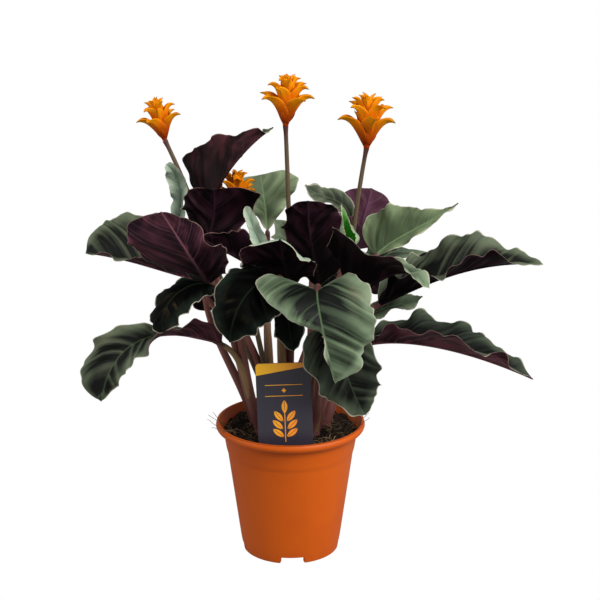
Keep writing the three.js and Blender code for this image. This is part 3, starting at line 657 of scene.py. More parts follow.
@dataclass(frozen=True)
class LeafBack:
    """The underside of a leaf, with fine light veins, a midrib and patches that shine."""

    back: Back
    margin: str = "#94766f"
    shade: str = "#040203"

    @cache
    def make(self) -> bpy.types.Material:
        """Make the material."""
        between, on_vein, lit, shine, shade = self.back.value
        skin = Shading(f"leaf_under_{self.back.name.lower()}", Specular_IOR_Level=shine)
        vein, rib, edge = skin.attribute("vein"), skin.attribute("rib"), skin.attribute("edge")
        out = rib / (rib + edge)
        grain = skin.noise(1.0, 3, skin.vector(vein * 7, out * 1.5, 1.0))
        broad = skin.noise(1.0, 2, skin.vector(vein * 0.8, out * 1.4, 7.0))
        # one line along each side vein and four finer ones from each to the next
        lines = abs((vein * math.pi).sine()).step(0.14, 0.02)
        fine = abs((vein * (4 * math.pi)).sine()).step(0.55, 0.05)
        # painted sheen: broad patches take the lit colour
        base = skin.blend(broad.step(0.4, 0.64) + (grain - 0.5) * 0.5, between, lit)
        base = skin.blend(lines * 0.4 + fine * 0.2, base, on_vein)
        base = skin.blend(rib.step(1.2, 0.7) * 0.7, base, on_vein)
        # the shade lies on the half towards the base
        dark = (skin.attribute("run") + (broad - 0.5) * 0.5).step(0.75, 0.15)
        base = skin.blend(dark * shade, base, self.shade)
        base = skin.blend(edge.step(0.8, 0.3) * 0.6, base, self.margin)
        return skin.finish(base, 0.45 + grain * 0.2, lines * 0.3 + fine * 0.2 + grain * 0.4, 0.35)


@dataclass(frozen=True)
class StalkSkin:
    """Leaf stalks, from olive to maroon by the value blush, and bronze flower stalks below 0."""

    olive: str = "#937e4e"
    maroon: str = "#773f43"
    foot: str = "#432426"
    streak: str = "#9a7563"
    bronze: str = "#4a3c30"

    @cache
    def make(self) -> bpy.types.Material:
        """Make the material."""
        skin = Shading("stalk", Specular_IOR_Level=0.25)
        rise = skin.attribute("rise")
        long_grain = skin.noise(1.0, 3, skin.node(
            "ShaderNodeMapping", {"vector_type": "POINT"}, {"Vector": skin.place(), "Scale": (700, 700, 45)}
        ).outputs[0])
        blush = skin.attribute("blush")
        base = skin.blend(blush + (long_grain - 0.5) * 0.35, self.olive, self.maroon)
        base = skin.blend(blush * -1.0, base, self.bronze)
        # darker at its foot and again right under the blade or the bloom, with light streaks
        base = skin.blend(rise.step(0.3, 0.0) * 0.6, base, self.foot)
        base = skin.blend(rise.step(0.93, 0.99) * 0.85, base, self.foot)
        base = skin.blend(long_grain.step(0.55, 0.8) * 0.3, base, self.streak)
        return skin.finish(base, 0.36 + long_grain * 0.2, long_grain, 0.3)


@dataclass(frozen=True)
class BractSkin:
    """Orange bracts, deeper at their base, with a thin dark point."""

    base: str = "#8c2e02"
    middle: str = "#d06602"
    tip: str = "#dc8a08"
    point: str = "#5c4416"

    @cache
    def make(self) -> bpy.types.Material:
        """Make the material."""
        skin = Shading("bract", Roughness=0.6, Specular_IOR_Level=0.06)
        run, edge, vein, rise = (skin.attribute(name) for name in ("run", "edge", "vein", "rise"))
        grain = skin.noise(1.0, 2, skin.vector(vein * 5, run * 2, 0.0))
        colours = skin.blend((rise + (grain - 0.5) * 0.2).step(0.02, 0.6), self.base, self.middle)
        colours = skin.blend((run + (grain - 0.5) * 0.2).step(0.35, 0.85), colours, self.tip)
        colours = skin.blend(edge.step(0.45, 0.05) * 0.3, colours, self.tip)
        colours = skin.blend(run.step(0.9, 0.985) * 0.85, colours, self.point)
        return skin.finish(colours, None, grain, 0.05)


@dataclass(frozen=True)
class PotPlastic:
    """Matt moulded orange plastic with a faint grain."""

    body: str = "#b84f04"
    worn: str = "#a84304"

    @cache
    def make(self) -> bpy.types.Material:
        """Make the material."""
        skin = Shading("pot_plastic", Specular_IOR_Level=0.2)
        cloud = skin.noise(18, 3)
        grain = skin.noise(900, 2)
        base = skin.blend(cloud.step(0.4, 0.7) * 0.4, self.body, self.worn)
        return skin.finish(base, 0.4 + cloud * 0.1, grain, 0.04)


@dataclass(frozen=True)
class SoilEarth:
    """Dark potting soil with lighter specks."""

    dark: str = "#0f0a08"
    brown: str = "#2a1d15"
    speck: str = "#5d4632"

    @cache
    def make(self) -> bpy.types.Material:
        """Make the material."""
        skin = Shading("potting_soil", Roughness=0.92, Specular_IOR_Level=0.2)
        coarse, fine = skin.noise(160, 4), skin.noise(520, 3)
        base = skin.blend(coarse.step(0.35, 0.65), self.dark, self.brown)
        base = skin.blend(fine.step(0.6, 0.75) * 0.6, base, self.speck)
        return skin.finish(base, None, coarse + fine * 0.6, 1.4)


@dataclass(frozen=True)
class FibreStraw:
    """Dry root fibres, from brown to straw by the value blush."""

    brown: str = "#35251a"
    straw: str = "#9a8059"

    @cache
    def make(self) -> bpy.types.Material:
        """Make the material."""
        skin = Shading("root_fibre", Roughness=0.8, Specular_IOR_Level=0.2)
        grain = skin.noise(400, 2)
        return skin.finish(skin.blend(skin.attribute("blush") + (grain - 0.5) * 0.4, self.brown, self.straw))


@dataclass(frozen=True)
class CardPrint:
    """A dark printed card with an amber band, thin rules and a sprig of leaves, in millimetres.

    Each leaflet has a place across and up the card and a lean from upright, in degrees.
    """

    ground: str = "#2b2833"
    amber: str = "#e9ac1c"
    orange: str = "#ee7f1c"
    band_left: float = 71.5
    band_right: float = 79.5
    half_width: float = 24.75
    leaflets: tuple[Point, ...] = ((6.2, 16.5, 52), (6.6, 24.5, 46), (5.6, 32.5, 38), (0.0, 41.5, 0))
    leaflet_half: float = 2.6
    emblem: float = 57
    rule_offset: float = 5.2
    rule_half: float = 17

    def leaflet(self, across: Term, up: Term, place: Point) -> Term:
        """Mark one pointed leaflet of the sprig, with a dark vein.

        Args:
            across: Millimetres from the card's middle line.
            up: Millimetres above the card's lower edge.
            place: Where the leaflet's middle is, and its lean.

        Returns:
            A mask that is 1 inside the leaflet.
        """
        x, y = across - place[0], up - place[1]
        lean = math.radians(place[2])
        long_way = x * math.sin(lean) + y * math.cos(lean)
        wide_way = x * math.cos(lean) - y * math.sin(lean)
        body = abs(wide_way) + long_way * long_way * 0.062
        vein = abs(wide_way).step(0.12, 0.3)
        return body.step(self.leaflet_half + 0.15, self.leaflet_half - 0.15) * vein

    @cache
    def make(self) -> bpy.types.Material:
        """Make the material."""
        skin = Shading("card_print", Roughness=0.38, Specular_IOR_Level=0.5)
        across, up = skin.attribute("across"), skin.attribute("up")
        mirrored = abs(across)
        share = across * (0.5 / self.half_width) + 0.5
        edge = up - share * (self.band_right - self.band_left) - self.band_left
        band = edge.step(-0.15, 0.15)
        sprig = mirrored.step(0.45, 0.25) * up.step(7.5, 8.0) * up.step(38.5, 38.0)
        for place in self.leaflets:
            sprig = sprig.highest(self.leaflet(mirrored, up, place))
        from_emblem = abs(up - self.emblem)
        rules = abs(from_emblem - self.rule_offset).step(0.4, 0.2)
        rules = rules * mirrored.step(self.rule_half, self.rule_half - 0.2)
        diamond = (mirrored + from_emblem).step(2.3, 2.0)
        ink = band.highest(sprig).highest(rules).highest(diamond)
        warm = skin.blend(share + (up - 40) * -0.006, self.amber, self.orange)
        return skin.finish(skin.blend(ink, self.ground, warm))


@dataclass(frozen=True)
class Plain:
    """One even colour with a roughness."""

    name: str
    body: str
    rough: float

    @cache
    def make(self) -> bpy.types.Material:
        """Make the material."""
        return Shading(self.name, Roughness=self.rough).finish(self.body)


# ------------------------------------------------------------------ pot


@dataclass
class Pot:
    """A thin moulded pot with a rolled rim, a stepped collar and four notches in its foot ring."""

    height: float = 127
    rim_radius: float = 70
    mouth_radius: float = 66.6
    rim_depth: float = 8.5
    foot_radius: float = 45.6
    collar_low: float = 98
    collar_radius: float = 60.2
    collar_flare: float = 3.2
    wall: float = 1.8
    floor_under: float = 7.5
    floor_top: float = 9.5
    ring_width: float = 3.2
    centre_foot: float = 7
    notches: int = 4
    notch_width: float = 22
    notch_height: float = 6.4
    notch_corner: float = 1.6
    toe_corner: float = 1.7
    notch_turn: float = math.radians(2.5) - math.pi / 2
    wall_slope: float = 0.137
    ring_slope: float = 0.06
    seam_count: int = 160
    sharp_angle: float = math.radians(38)

    def wall_radius(self, z: float) -> float:
        """Return the outer radius of the tapering wall at a height."""
        return mix(self.foot_radius + 0.2, self.collar_radius - 1, z / self.collar_low)

    def inside_radius(self, z: float) -> float:
        """Return the inner radius of the pot at a height, past the step of its collar too."""
        if z <= self.collar_low:
            return self.wall_radius(z) - self.wall
        under, lip = self.collar_radius + self.collar_flare - self.wall, self.height - self.rim_depth - 1
        if z <= lip:
            share = (z - self.collar_low) / (lip - self.collar_low)
            return mix(self.wall_radius(self.collar_low) - self.wall, under, share)
        return mix(under, self.mouth_radius, (z - lip) / (self.height - 1.4 - lip))

    def profile(self) -> np.ndarray:
        """Return radius and height round the pot's section, with its corners rounded."""
        foot, lip, low = self.foot_radius, self.height - self.rim_depth, self.collar_low
        inner_foot, base = foot - self.ring_width, self.floor_top
        # from the middle of the underside out, up the outside, over the rim and down to the floor
        return rounded([
            (0, 0, 0), (self.centre_foot, 0, 0.8), (self.centre_foot, self.floor_under, 0.6),
            (inner_foot + 0.5, self.floor_under, 0.6), (inner_foot, 0, 0.8),
            (foot - 0.1, 0, 0.9), (self.wall_radius(12), 12, 0.3), (self.wall_radius(50), 50, 0.3),
            (self.wall_radius(low - 1), low - 1, 1.2), (self.collar_radius, low + 2.6, 1.6),
            (self.collar_radius + self.collar_flare, lip + 0.6, 0.9), (self.rim_radius - 2.2, lip + 0.8, 1.2),
            (self.rim_radius, lip + 3.4, 1.8), (self.rim_radius, self.height - 2.2, 1.9),
            (self.rim_radius - 1.5, self.height, 1.4), (self.mouth_radius + 1.3, self.height, 1.2),
            (self.mouth_radius, self.height - 1.8, 1.2), (self.inside_radius(lip - 1), lip - 1, 1.0),
            (self.inside_radius(low), low, 1.0), (self.inside_radius(base + 3), base + 3, 1.0),
            (self.inside_radius(base) - 3, base, 1.5), (0, base, 0),
        ])

    def seams(self) -> tuple[np.ndarray, np.ndarray]:
        """Return the angles of the lathe's seams and how far the foot is lifted at each."""
        side, corner, toe = self.notch_width / 2, self.notch_corner, self.toe_corner
        arc = np.linspace(0, math.pi / 2, 6)
        # one side of a notch: a round toe, a nearly upright side and a round upper corner
        places = [*(side + toe * (1 - np.sin(arc))), *(side - 0.03 - corner * (1 - np.cos(arc)))]
        lifts = [*(toe * (1 - np.cos(arc))), *(self.notch_height - corner + corner * np.sin(arc))]
        middle = np.linspace(-places[-1], places[-1], 13)[1:-1]
        offsets = np.array([-p for p in places] + list(middle) + places[::-1]) / (self.foot_radius - 0.5)
        heights = np.array(lifts + [self.notch_height] * len(middle) + lifts[::-1])
        between = 2 * math.pi / self.notches - 2 * offsets[-1]
        plain = offsets[-1] + between * np.linspace(0, 1, self.seam_count // self.notches)[1:-1]
        angles = np.concatenate([offsets, plain])
        heights = np.concatenate([heights, np.zeros(len(plain))])
        turns = self.notch_turn + np.arange(self.notches)[:, None] * 2 * math.pi / self.notches
        return (angles + turns).ravel(), np.tile(heights, self.notches)

    def build(self) -> bpy.types.Object:
        """Build the pot with its notches."""
        angles, lifts = self.seams()
        shell = revolve(self.profile(), angles)
        rings = shell.points[1:-1].reshape(-1, len(angles), 3)
        radius = np.hypot(rings[..., 0], rings[..., 1])
        # at a notch the foot ring is squeezed up against reach, along its own slopes
        reach = self.floor_under - 0.1
        cut = (radius > self.centre_foot + 5) & (rings[..., 2] < reach)
        raised = np.where(cut, lifts + rings[..., 2] * (reach - lifts) / reach, rings[..., 2])
        taper = np.where(radius > self.foot_radius - 1, self.wall_slope, self.ring_slope)
        stretch = 1 + (raised - rings[..., 2]) * taper / radius
        rings[..., 2] = raised
        rings[..., :2] *= stretch[..., None]
        piece = shell.build("pot_shell", [PotPlastic().make()])
        piece.data.set_sharp_from_angle(angle=self.sharp_angle)
        return adopt(piece, Slot.POT, "pot")


# ------------------------------------------------------------------ soil


@dataclass
class Soil:
    """Potting soil that fills the pot, with crumbs and root fibres on its top."""

    pot: Pot
    level: float = 122
    sag: float = 2
    lump: float = 1.4
    clod: float = 1.5
    small_clod: float = 0.9
    settled: float = 0.4
    clearance: float = 0.3
    foot_corner: tuple[float, float] = (4.5, 4)
    shoulder: float = 5.5
    crust: float = 0.5
    bed_rings: int = 46
    bed_sides: int = 144
    strewn_radius: float = 59.8
    strewn_rings: int = 30
    strewn_sides: int = 96
    crumb: float = 1.25
    crumb_smallest: Point = (0.35, 0.35, 0.3)
    crumb_largest: Point = (1.5, 1.3, 1.1)
    crumbs_per_square_metre: float = 190000
    fibres: int = 330
    fibre_reach: float = 60
    fibre_length: tuple[float, float] = (5, 22)
    fibre_arch: tuple[float, float] = (0.2, 3.2)
    fibre_radius: tuple[float, float] = (0.12, 0.34)
    fibre_bend: float = 0.45
    fibre_points: int = 8
    fibre_sides: int = 5
    rim_fibres: Sequence[tuple[int, float]] = ((-1, 76), (-1, 72), (1, 73))
    rim_fibre_root: float = 50
    rim_fibre_crest: float = 66
    rim_fibre_front: tuple[float, float] = (-34, -6)
    rim_fibre_rise: tuple[float, float] = (2, 14)
    rim_fibre_radius: tuple[float, float] = (0.38, 0.2)
    rim_fibre_points: int = 9
    rim_ramp: tuple[float, float] = (57, 63)
    rim_climb: float = 7.4
    seed: int = 7

    def height(self, x: np.ndarray, y: np.ndarray) -> np.ndarray:
        """Return the height of the soil's lumpy top."""
        far = np.hypot(x, y) / self.pot.mouth_radius
        lumps = np.sin(x * 0.31 + 1) * np.cos(y * 0.27) + 0.6 * np.sin(x * 0.17 - y * 0.23)
        return self.level - self.sag * far ** 3 + self.lump * (lumps - 1) * np.minimum(far * 2, 1)

    def rough_height(self, x: float, y: float) -> float:
        """Return the height with large and small clods added."""
        large = noise.noise(Vector((x, y, 0)) * 0.16) * self.clod
        small = noise.noise(Vector((x, y, 9)) * 0.45) * self.small_clod
        return float(self.height(np.float64(x), np.float64(y))) + (large + small) - self.settled

    def bed(self) -> Shell:
        """Return the body of soil as a closed shell that keeps clear of the pot."""
        low, collar = self.pot.floor_top + self.clearance, self.pot.collar_low
        edge = self.level - self.sag
        rim, gap = edge - self.crust, 1.2 * self.clearance
        inset, rise = self.foot_corner
        heights = (low + rise, collar, edge - self.shoulder, rim)
        side = [(self.pot.inside_radius(z) - gap, z) for z in heights]
        top = [(radius, edge) for radius in np.linspace(side[-1][0] - 0.4, 1.5, self.bed_rings)]
        profile = np.array([(0, low), (side[0][0] - inset, low), *side, *top, (0, edge)])
        shell = revolve(profile, np.linspace(0, 2 * math.pi, self.bed_sides, endpoint=False))
        for point in shell.points:
            if point[2] >= rim:
                point[2] += self.rough_height(point[0], point[1]) - edge
                reach = self.pot.inside_radius(point[2]) - 2 * gap
                point[:2] *= min(reach / max(math.hypot(point[0], point[1]), 1.0), 1.0)
        return shell

    def top(self) -> bpy.types.Object:
        """Return the soil's top as an open disc that crumbs are strewn on."""
        count = self.strewn_sides
        angles = np.linspace(0, 2 * math.pi, count, endpoint=False)
        radii = np.linspace(2, self.strewn_radius, self.strewn_rings)
        places = [(r * math.cos(a), r * math.sin(a)) for r in radii for a in angles]
        points = np.array([(x, y, self.rough_height(x, y)) for x, y in places])
        faces = []
        for near in range(0, len(points) - count, count):
            for j in range(count):
                k, far = (j + 1) % count, near + count
                faces.append((near + j, far + j, far + k, near + k))
        return Shell(points, faces).build("soil_top", [])

    def crumb_tree(self) -> Growth:
        """Make the tree that strews crumbs over a surface."""
        grown = Growth("strewn_crumbs", {
            "Density": ("NodeSocketFloat", self.crumbs_per_square_metre),
            "Crumb": ("NodeSocketFloat", self.crumb * MM),
            "Seed": ("NodeSocketInt", self.seed),
            "Finish": ("NodeSocketMaterial", SoilEarth().make()),
        })
        seed = grown.given["Seed"]
        spots = grown.node("GeometryNodeDistributePointsOnFaces", {"distribute_method": "RANDOM"}, {
            "Mesh": grown.given["Geometry"], "Density": grown.given["Density"], "Seed": seed,
        })
        lump = grown.node(
            "GeometryNodeMeshIcoSphere", inputs={"Radius": grown.given["Crumb"], "Subdivisions": 1}
        )
        size = grown.node(
            "FunctionNodeRandomValue", {"data_type": "FLOAT_VECTOR"},
            {0: self.crumb_smallest, 1: self.crumb_largest, "Seed": seed},
        )
        unturned, full_turn = (0.0, 0.0, 0.0), (6.28, 6.28, 6.28)
        turn = grown.node(
            "FunctionNodeRandomValue", {"data_type": "FLOAT_VECTOR"},
            {0: unturned, 1: full_turn, "Seed": seed},
        )
        strewn = grown.node("GeometryNodeInstanceOnPoints", inputs={
            "Points": spots.outputs["Points"], "Instance": lump.outputs["Mesh"],
            "Rotation": turn.outputs[0], "Scale": size.outputs[0],
        })
        grown.end(strewn.outputs[0])
        return grown

    def lying_fibre(self, draw: np.random.Generator) -> Strand:
        """Return a root fibre that arches over the soil and stays inside the pot."""
        reach, count = self.fibre_reach, self.fibre_points
        radius, angle = reach * math.sqrt(draw.random()), draw.random() * 2 * math.pi
        x, y, heading = radius * math.cos(angle), radius * math.sin(angle), draw.random() * 2 * math.pi
        length, arch = draw.uniform(*self.fibre_length), draw.uniform(*self.fibre_arch)
        step = length / (count - 1)
        points = []
        for t in np.linspace(0, 1, count):
            far = math.hypot(x, y)
            if far > reach:
                x, y = x * reach / far, y * reach / far
            points.append((x, y, self.rough_height(x, y) + 0.2 + arch * math.sin(math.pi * t)))
            heading += draw.normal(0, self.fibre_bend)
            x, y = x + step * math.cos(heading), y + step * math.sin(heading)
        girth = draw.uniform(*self.fibre_radius) * np.linspace(1, 0.6, count)
        return Strand(np.array(points), girth, blush=draw.random() ** 2)

    def rim_fibre(self, draw: np.random.Generator, side: int, reach: float) -> Strand:
        """Return a root fibre that runs from the soil over the rim and up.

        Args:
            draw: Source of the random numbers.
            side: -1 for the left and 1 for the right of the pot.
            reach: How far out the fibre's end is.

        Returns:
            The fibre.
        """
        low, rim, count = self.level - 1, self.pot.height, self.rim_fibre_points
        start = np.array([side * self.rim_fibre_root, draw.uniform(*self.rim_fibre_front), low])
        astray, rise = draw.uniform(-7, 7), draw.uniform(*self.rim_fibre_rise)
        end = np.array([side * reach, start[1] + astray, rim + rise])
        over_rim = rim + 2.5 + draw.uniform(0, 3)
        middle = np.array([side * self.rim_fibre_crest, (start[1] + end[1]) / 2, over_rim])
        t = np.linspace(0, 1, count)[:, None]
        curve = start * (1 - t) ** 2 + 2 * middle * (1 - t) * t + end * t * t
        curve[1:-1] += draw.normal(0, 0.5, (count - 2, 3))
        # hold it above the soil, the collar and the rim
        least = low + self.rim_climb * smooth(np.hypot(curve[:, 0], curve[:, 1]), *self.rim_ramp)
        curve[:, 2] = np.maximum(curve[:, 2], least)
        return Strand(curve, np.linspace(*self.rim_fibre_radius, count), blush=draw.uniform(0.0, 0.3))

    def fibre_strands(self) -> list[Strand]:
        """Return the root fibres: most lie on the soil, and a few pairs reach over the rim."""
        draw = np.random.default_rng(self.seed)
        lying = [self.lying_fibre(draw) for _ in range(self.fibres)]
        rising = [self.rim_fibre(draw, side, reach) for side, reach in self.rim_fibres for _ in range(2)]
        return lying + rising

    def build(self) -> None:
        """Build the bed, the crumbs and the fibres."""
        bed = self.bed().build("soil_bed", [SoilEarth().make()])
        adopt(bed, Slot.SOIL, "soil")
        adopt(self.crumb_tree().grow(self.top(), "soil_crumbs"), Slot.SOIL)
        sweep = Strands(self.fibre_sides, FibreStraw().make())
        adopt(sweep.build("soil_fibres", self.fibre_strands()), Slot.SOIL)


# ------------------------------------------------------------------ label


@dataclass
class Label:
    """A flat card with rounded upper corners on a stake that stands in the soil."""

    width: float = 49.5
    height: float = 83
    corner: float = 3.5
    thickness: float = 0.8
    bevel: float = 0.25
    stake_width: float = 16
    stake_depth: float = 24
    stake_taper: tuple[float, float] = (3, 5)
    shoulder: float = 3
    place: Point = (-3.5, -54, 118)
    tilt: float = math.radians(2)
    sharp_angle: float = math.radians(20)

    def outline(self) -> np.ndarray:
        """Return the card's outline, anticlockwise as the front is seen."""
        half, stake, deep = self.width / 2, self.stake_width / 2, self.stake_depth
        inset, rise = self.stake_taper
        right = [(stake - inset, -deep), (stake, rise - deep), (stake, 0), (half, self.shoulder)]
        arc = np.linspace(0, math.pi / 2, 9)
        x = half - self.corner * (1 - np.cos(arc))
        z = self.height - self.corner * (1 - np.sin(arc))
        points = np.array([*right, *zip(x, z)])
        return np.concatenate([points, points[::-1] * (-1, 1)])

    def build(self) -> bpy.types.Object:
        """Build the card with a small bevel round both faces."""
        line = self.outline()
        along_line = unit(np.roll(line, -1, 0) - line)
        turned = unit(along_line + np.roll(along_line, 1, 0))
        inset = line + self.bevel * np.stack([-turned[:, 1], turned[:, 0]], 1)
        half = self.thickness / 2
        layers = [(inset, -half), (line, self.bevel - half), (line, half - self.bevel), (inset, half)]
        flat = np.concatenate([np.insert(ring, 1, depth, axis=1) for ring, depth in layers])
        count = len(line)
        faces: list[Sequence[int]] = [tuple(range(count)), tuple(range(4 * count - 1, 3 * count - 1, -1))]
        for layer in range(3):
            for j in range(count):
                k, low = (j + 1) % count, layer * count
                faces.append((low + k, low + j, low + count + j, low + count + k))
        finish = np.full(len(faces), 1)
        finish[0] = 0
        cos, sin = math.cos(self.tilt), math.sin(self.tilt)
        x, y, z = flat.T
        points = np.stack([x * cos - z * sin, y, x * sin + z * cos], 1) + self.place
        shell = Shell(points, faces, {"across": x, "up": z}, finish)
        piece = shell.build("plant_label", [CardPrint().make(), Plain("card_edge", "#34313b", 0.4).make()])
        piece.data.set_sharp_from_angle(angle=self.sharp_angle)
        return adopt(piece, Slot.LABEL, "label")


# ------------------------------------------------------------------ blades


@dataclass(kw_only=True)
class Blade:
    """A thin sheet that grows along a rib, such as a leaf blade or a bract.

    The rib passes four points, and the face has a direction for its base and one for its tip. Pairs
    and fours of values go from base to tip, the left half before the right one. Each half folds up
    from the rib by an angle, curls on towards its margin, leans forward (sweep), and its margin waves.
    A wave has its height in millimetres, its count along the rib and a phase for each half. The shape
    says how bluntly the outline opens and closes, wide_left and wide_right stretch the halves, and
    least is the smallest width of a half.
    """

    rib: Sequence[Point]
    face: Sequence[Point]
    half: float
    fold: Sequence[float]
    curl: Sequence[float]
    wave: Sequence[float]
    sweep: Sequence[float]
    shape: Sequence[float] = (0.5, 0.72)
    wide_left: Sequence[float] = (1, 1)
    wide_right: Sequence[float] = (1, 1)
    least: float
    wave_power: float = 1.7

    def path(self) -> Path:
        """Return the curve of the rib."""
        return Path.through(self.rib)

    def up(self, t: np.ndarray) -> np.ndarray:
        """Return the direction that the face looks in on the rib at the shares t."""
        base, tip = (unit(np.asarray(face, float)) for face in self.face)
        face = base + (tip - base) * t[:, None]
        forward = self.path().heading(t)
        return unit(face - (face * forward).sum(1, keepdims=True) * forward)

    def widths(self, t: np.ndarray) -> tuple[np.ndarray, np.ndarray]:
        """Return the widths of the left and the right half at the shares t."""
        base, tip = self.shape
        peak = base / (base + tip)
        grown = t ** base * (1 - t) ** tip / (peak ** base * (1 - peak) ** tip)
        half = np.maximum(self.half * grown, self.least)
        return half * along(self.wide_left, t), half * along(self.wide_right, t)

    def surface(self, t: np.ndarray, s: np.ndarray) -> np.ndarray:
        """Return the middle surface.

        Args:
            t: Shares along the rib, one for each row.
            s: Places across it from -1 to 1, in rows.

        Returns:
            Rows of points.
        """
        forward, up = self.path().heading(t), self.up(t)
        right = np.cross(forward, up)
        row = t[:, None]
        out, on_right = np.abs(s), s > 0
        left_width, right_width = self.widths(t)
        width = np.where(on_right, right_width[:, None], left_width[:, None])
        fold, bend = (
            np.radians(np.where(on_right, mix(v[2], v[3], row), mix(v[0], v[1], row)))
            for v in (self.fold, self.curl)
        )
        # each half is an arc that leaves the rib at the angle fold and has turned by curl at its margin
        curl = np.where(np.abs(bend) < 1e-4, 1e-4, bend)
        angle = fold + curl * out
        height, count, *phases = self.wave
        swell = np.sqrt(np.maximum(np.sin(np.pi * row), 0))
        phase = np.where(on_right, phases[1], phases[0])
        wave = height * swell * out ** self.wave_power * np.sin(2 * np.pi * (count * row + phase))
        across = width * (np.sin(angle) - np.sin(fold)) / curl - wave * np.sin(angle)
        lift = width * (np.cos(fold) - np.cos(angle)) / curl + wave * np.cos(angle)
        lead = width * mix(*self.sweep, row) * (0.5 * out + 0.5 * out * out)
        parts = (np.sign(s) * across, right), (lift, up), (lead, forward)
        return self.path().at(t)[:, None] + sum(size[..., None] * way[:, None] for size, way in parts)


@dataclass
class Leaf(Blade):
    """A leaf: its shoot, its tones, its blade and how its stalk runs.

    The stalk sets out along lean and comes in along the rib, by the two shares of its length in
    reach. It passes the blade's base at a gap and runs on under the midrib. Blush turns it from olive
    to maroon. Sizes are millimetres, and tip_turn is the degrees that a curling tip turns over.
    """

    shoot: str
    tone: Tone
    back: Back
    gap: float = 0.55
    lean: Point | None = None
    reach: tuple[float, float] = (0.4, 0.3)
    blush: float = 0.85
    rows: int = 110
    columns: int = 24
    thickness: float = 0.5
    vein_step: float = 18.0
    vein_wander: float = 0.26
    ridge: float = 2.8
    ruffle: float = 4.2
    lobe: float = 2.8
    lobe_length: float = 4.9
    scallop: float = 1.6
    ripple: float = 0.35
    point: float = 2.5
    least: float = field(default=1.4, kw_only=True)
    tip_turn: float = 0.0
    small: float = 20
    slimness: float = 0.8
    midrib_base: float = 1.6
    midrib_tip: float = 0.3
    stalk_foot: float = 5.3
    stalk_top: float = 2.4
    stalk_points: int = 40

    def up(self, t: np.ndarray) -> np.ndarray:
        """Return the direction that the face looks in, which turns over where the tip curls."""
        plain = super().up(t)
        turn = np.radians(self.tip_turn) * smooth(t, 0.88, 0.97)[:, None]
        return plain * np.cos(turn) + np.cross(self.path().heading(t), plain) * np.sin(turn)

    def slim(self) -> float:
        """Return how slim the stalk and the midrib are beside those of a large leaf."""
        return self.slimness if self.half < self.small else 1.0

    def midrib(self, t: np.ndarray) -> np.ndarray:
        """Return the radius of the midrib under the blade at the shares t."""
        thick = self.slim() * mix(self.midrib_base, self.midrib_tip, t ** 0.8)
        return np.minimum(thick, np.minimum(*self.widths(t)) / 3)

    def lattice(self, t: np.ndarray) -> np.ndarray:
        """Return places across the blade from -1 to 1, close together at the rib and the margins."""
        rib = self.midrib(t)[:, None]
        near = rib * np.array([0.0, 0.5, 1.0])
        share = 1 - (1 - np.linspace(0, 1, self.columns - 2)) ** 1.35
        halves = []
        for width in self.widths(t):
            far = 1.5 * rib + (width[:, None] - 1.5 * rib) * share
            halves.append(np.concatenate([near, far], 1) / width[:, None])
        return np.concatenate([-halves[0][:, :0:-1], halves[1]], 1)

    def veins(self, t: np.ndarray, s: np.ndarray) -> np.ndarray:
        """Return a number that grows by one from each side vein to the next."""
        out = np.abs(s)
        left, right = (width[:, None] for width in self.widths(t))
        width = np.where(s > 0, right, left)
        # a vein runs forward by lead on its way out, and follows a part of the blade's sweep
        lead = width * (0.72 * out + 0.24 * out * out)
        swept = width * mix(*self.sweep, t[:, None]) * (0.5 * out + 0.5 * out * out)
        step = self.vein_step * mix(0.7, 1.0, min(self.half / 40, 1))
        number = (t[:, None] * self.path().length() - lead + np.clip(swept, -10, 10)) / step
        # the place of the tip sets the wander off from that of other leaves
        wander = self.vein_wander * np.sin(2.3 * number + 1.7 * np.sign(s) + 0.05 * self.rib[3][0])
        return number + wander + np.where(s > 0, 0.4, 0.0)

    def shell(self) -> Shell:
        """Return the blade with its pleats, its midrib, its ruffled margin and its pointed tip."""
        even = np.linspace(0, 1, self.rows + 1)
        # the rows stand closer together towards the base and the tip
        t = 0.35 * even + 0.325 * (1 - np.cos(np.pi * even))
        s = self.lattice(t)
        out, row = np.abs(s), t[:, None]
        left, right = (width[:, None] for width in self.widths(t))
        width = np.where(s > 0, right, left)
        vein = self.veins(t, s)
        crest = np.sqrt(np.sin(np.pi * vein) ** 2 + 0.03)
        # relief fades towards both ends and on narrow blades, and each ridge has its own strength
        ends = smooth(row, 0.0, 0.12) * smooth(1 - row, 0.0, 0.1)
        size = ends * np.clip(width / 25, 0.25, 1)
        own = 0.8 + 0.35 * np.sin(1.9 * vein + 0.07 * self.rib[2][0])
        # the outline: lobes of two lengths and a scallop at each vein, drawn out to a point
        turns = row * self.path().length() / self.lobe_length + 0.11 * self.rib[2][0] + 2.1 * np.sign(s)
        lobes = 0.6 * np.sin(turns) + 0.4 * np.sin(1.7 * turns + 1)
        margin = self.lobe * lobes + self.scallop * own * (np.sin(np.pi * vein) ** 2 - 0.5) * out
        spread = s * (1 + size * margin * out ** 3 / width)
        tip = self.slim() * self.point * smooth(row, 0.86, 1.0) ** 2 * (1 - 0.6 * out)
        middle = self.surface(t, spread) + tip[..., None] * self.path().heading(t)[:, None]
        normals = grid_normals(middle)
        # the relief: pleats between the veins, then ruffles and ripples that grow to the margin
        pleat = self.ridge * own * smooth(out, 0.02, 0.35) * (1 - 0.4 * out) * (crest - 0.6)
        ruffle = self.ruffle * out ** 3 * (0.6 * np.cos(turns) + 0.4 * np.cos(1.7 * turns + 1))
        ripple = self.ripple * out ** 5 * (np.sin(row * 61 + 3 * np.sign(s)) + np.sin(row * 97))
        relief = size * (pleat + ruffle + ripple)
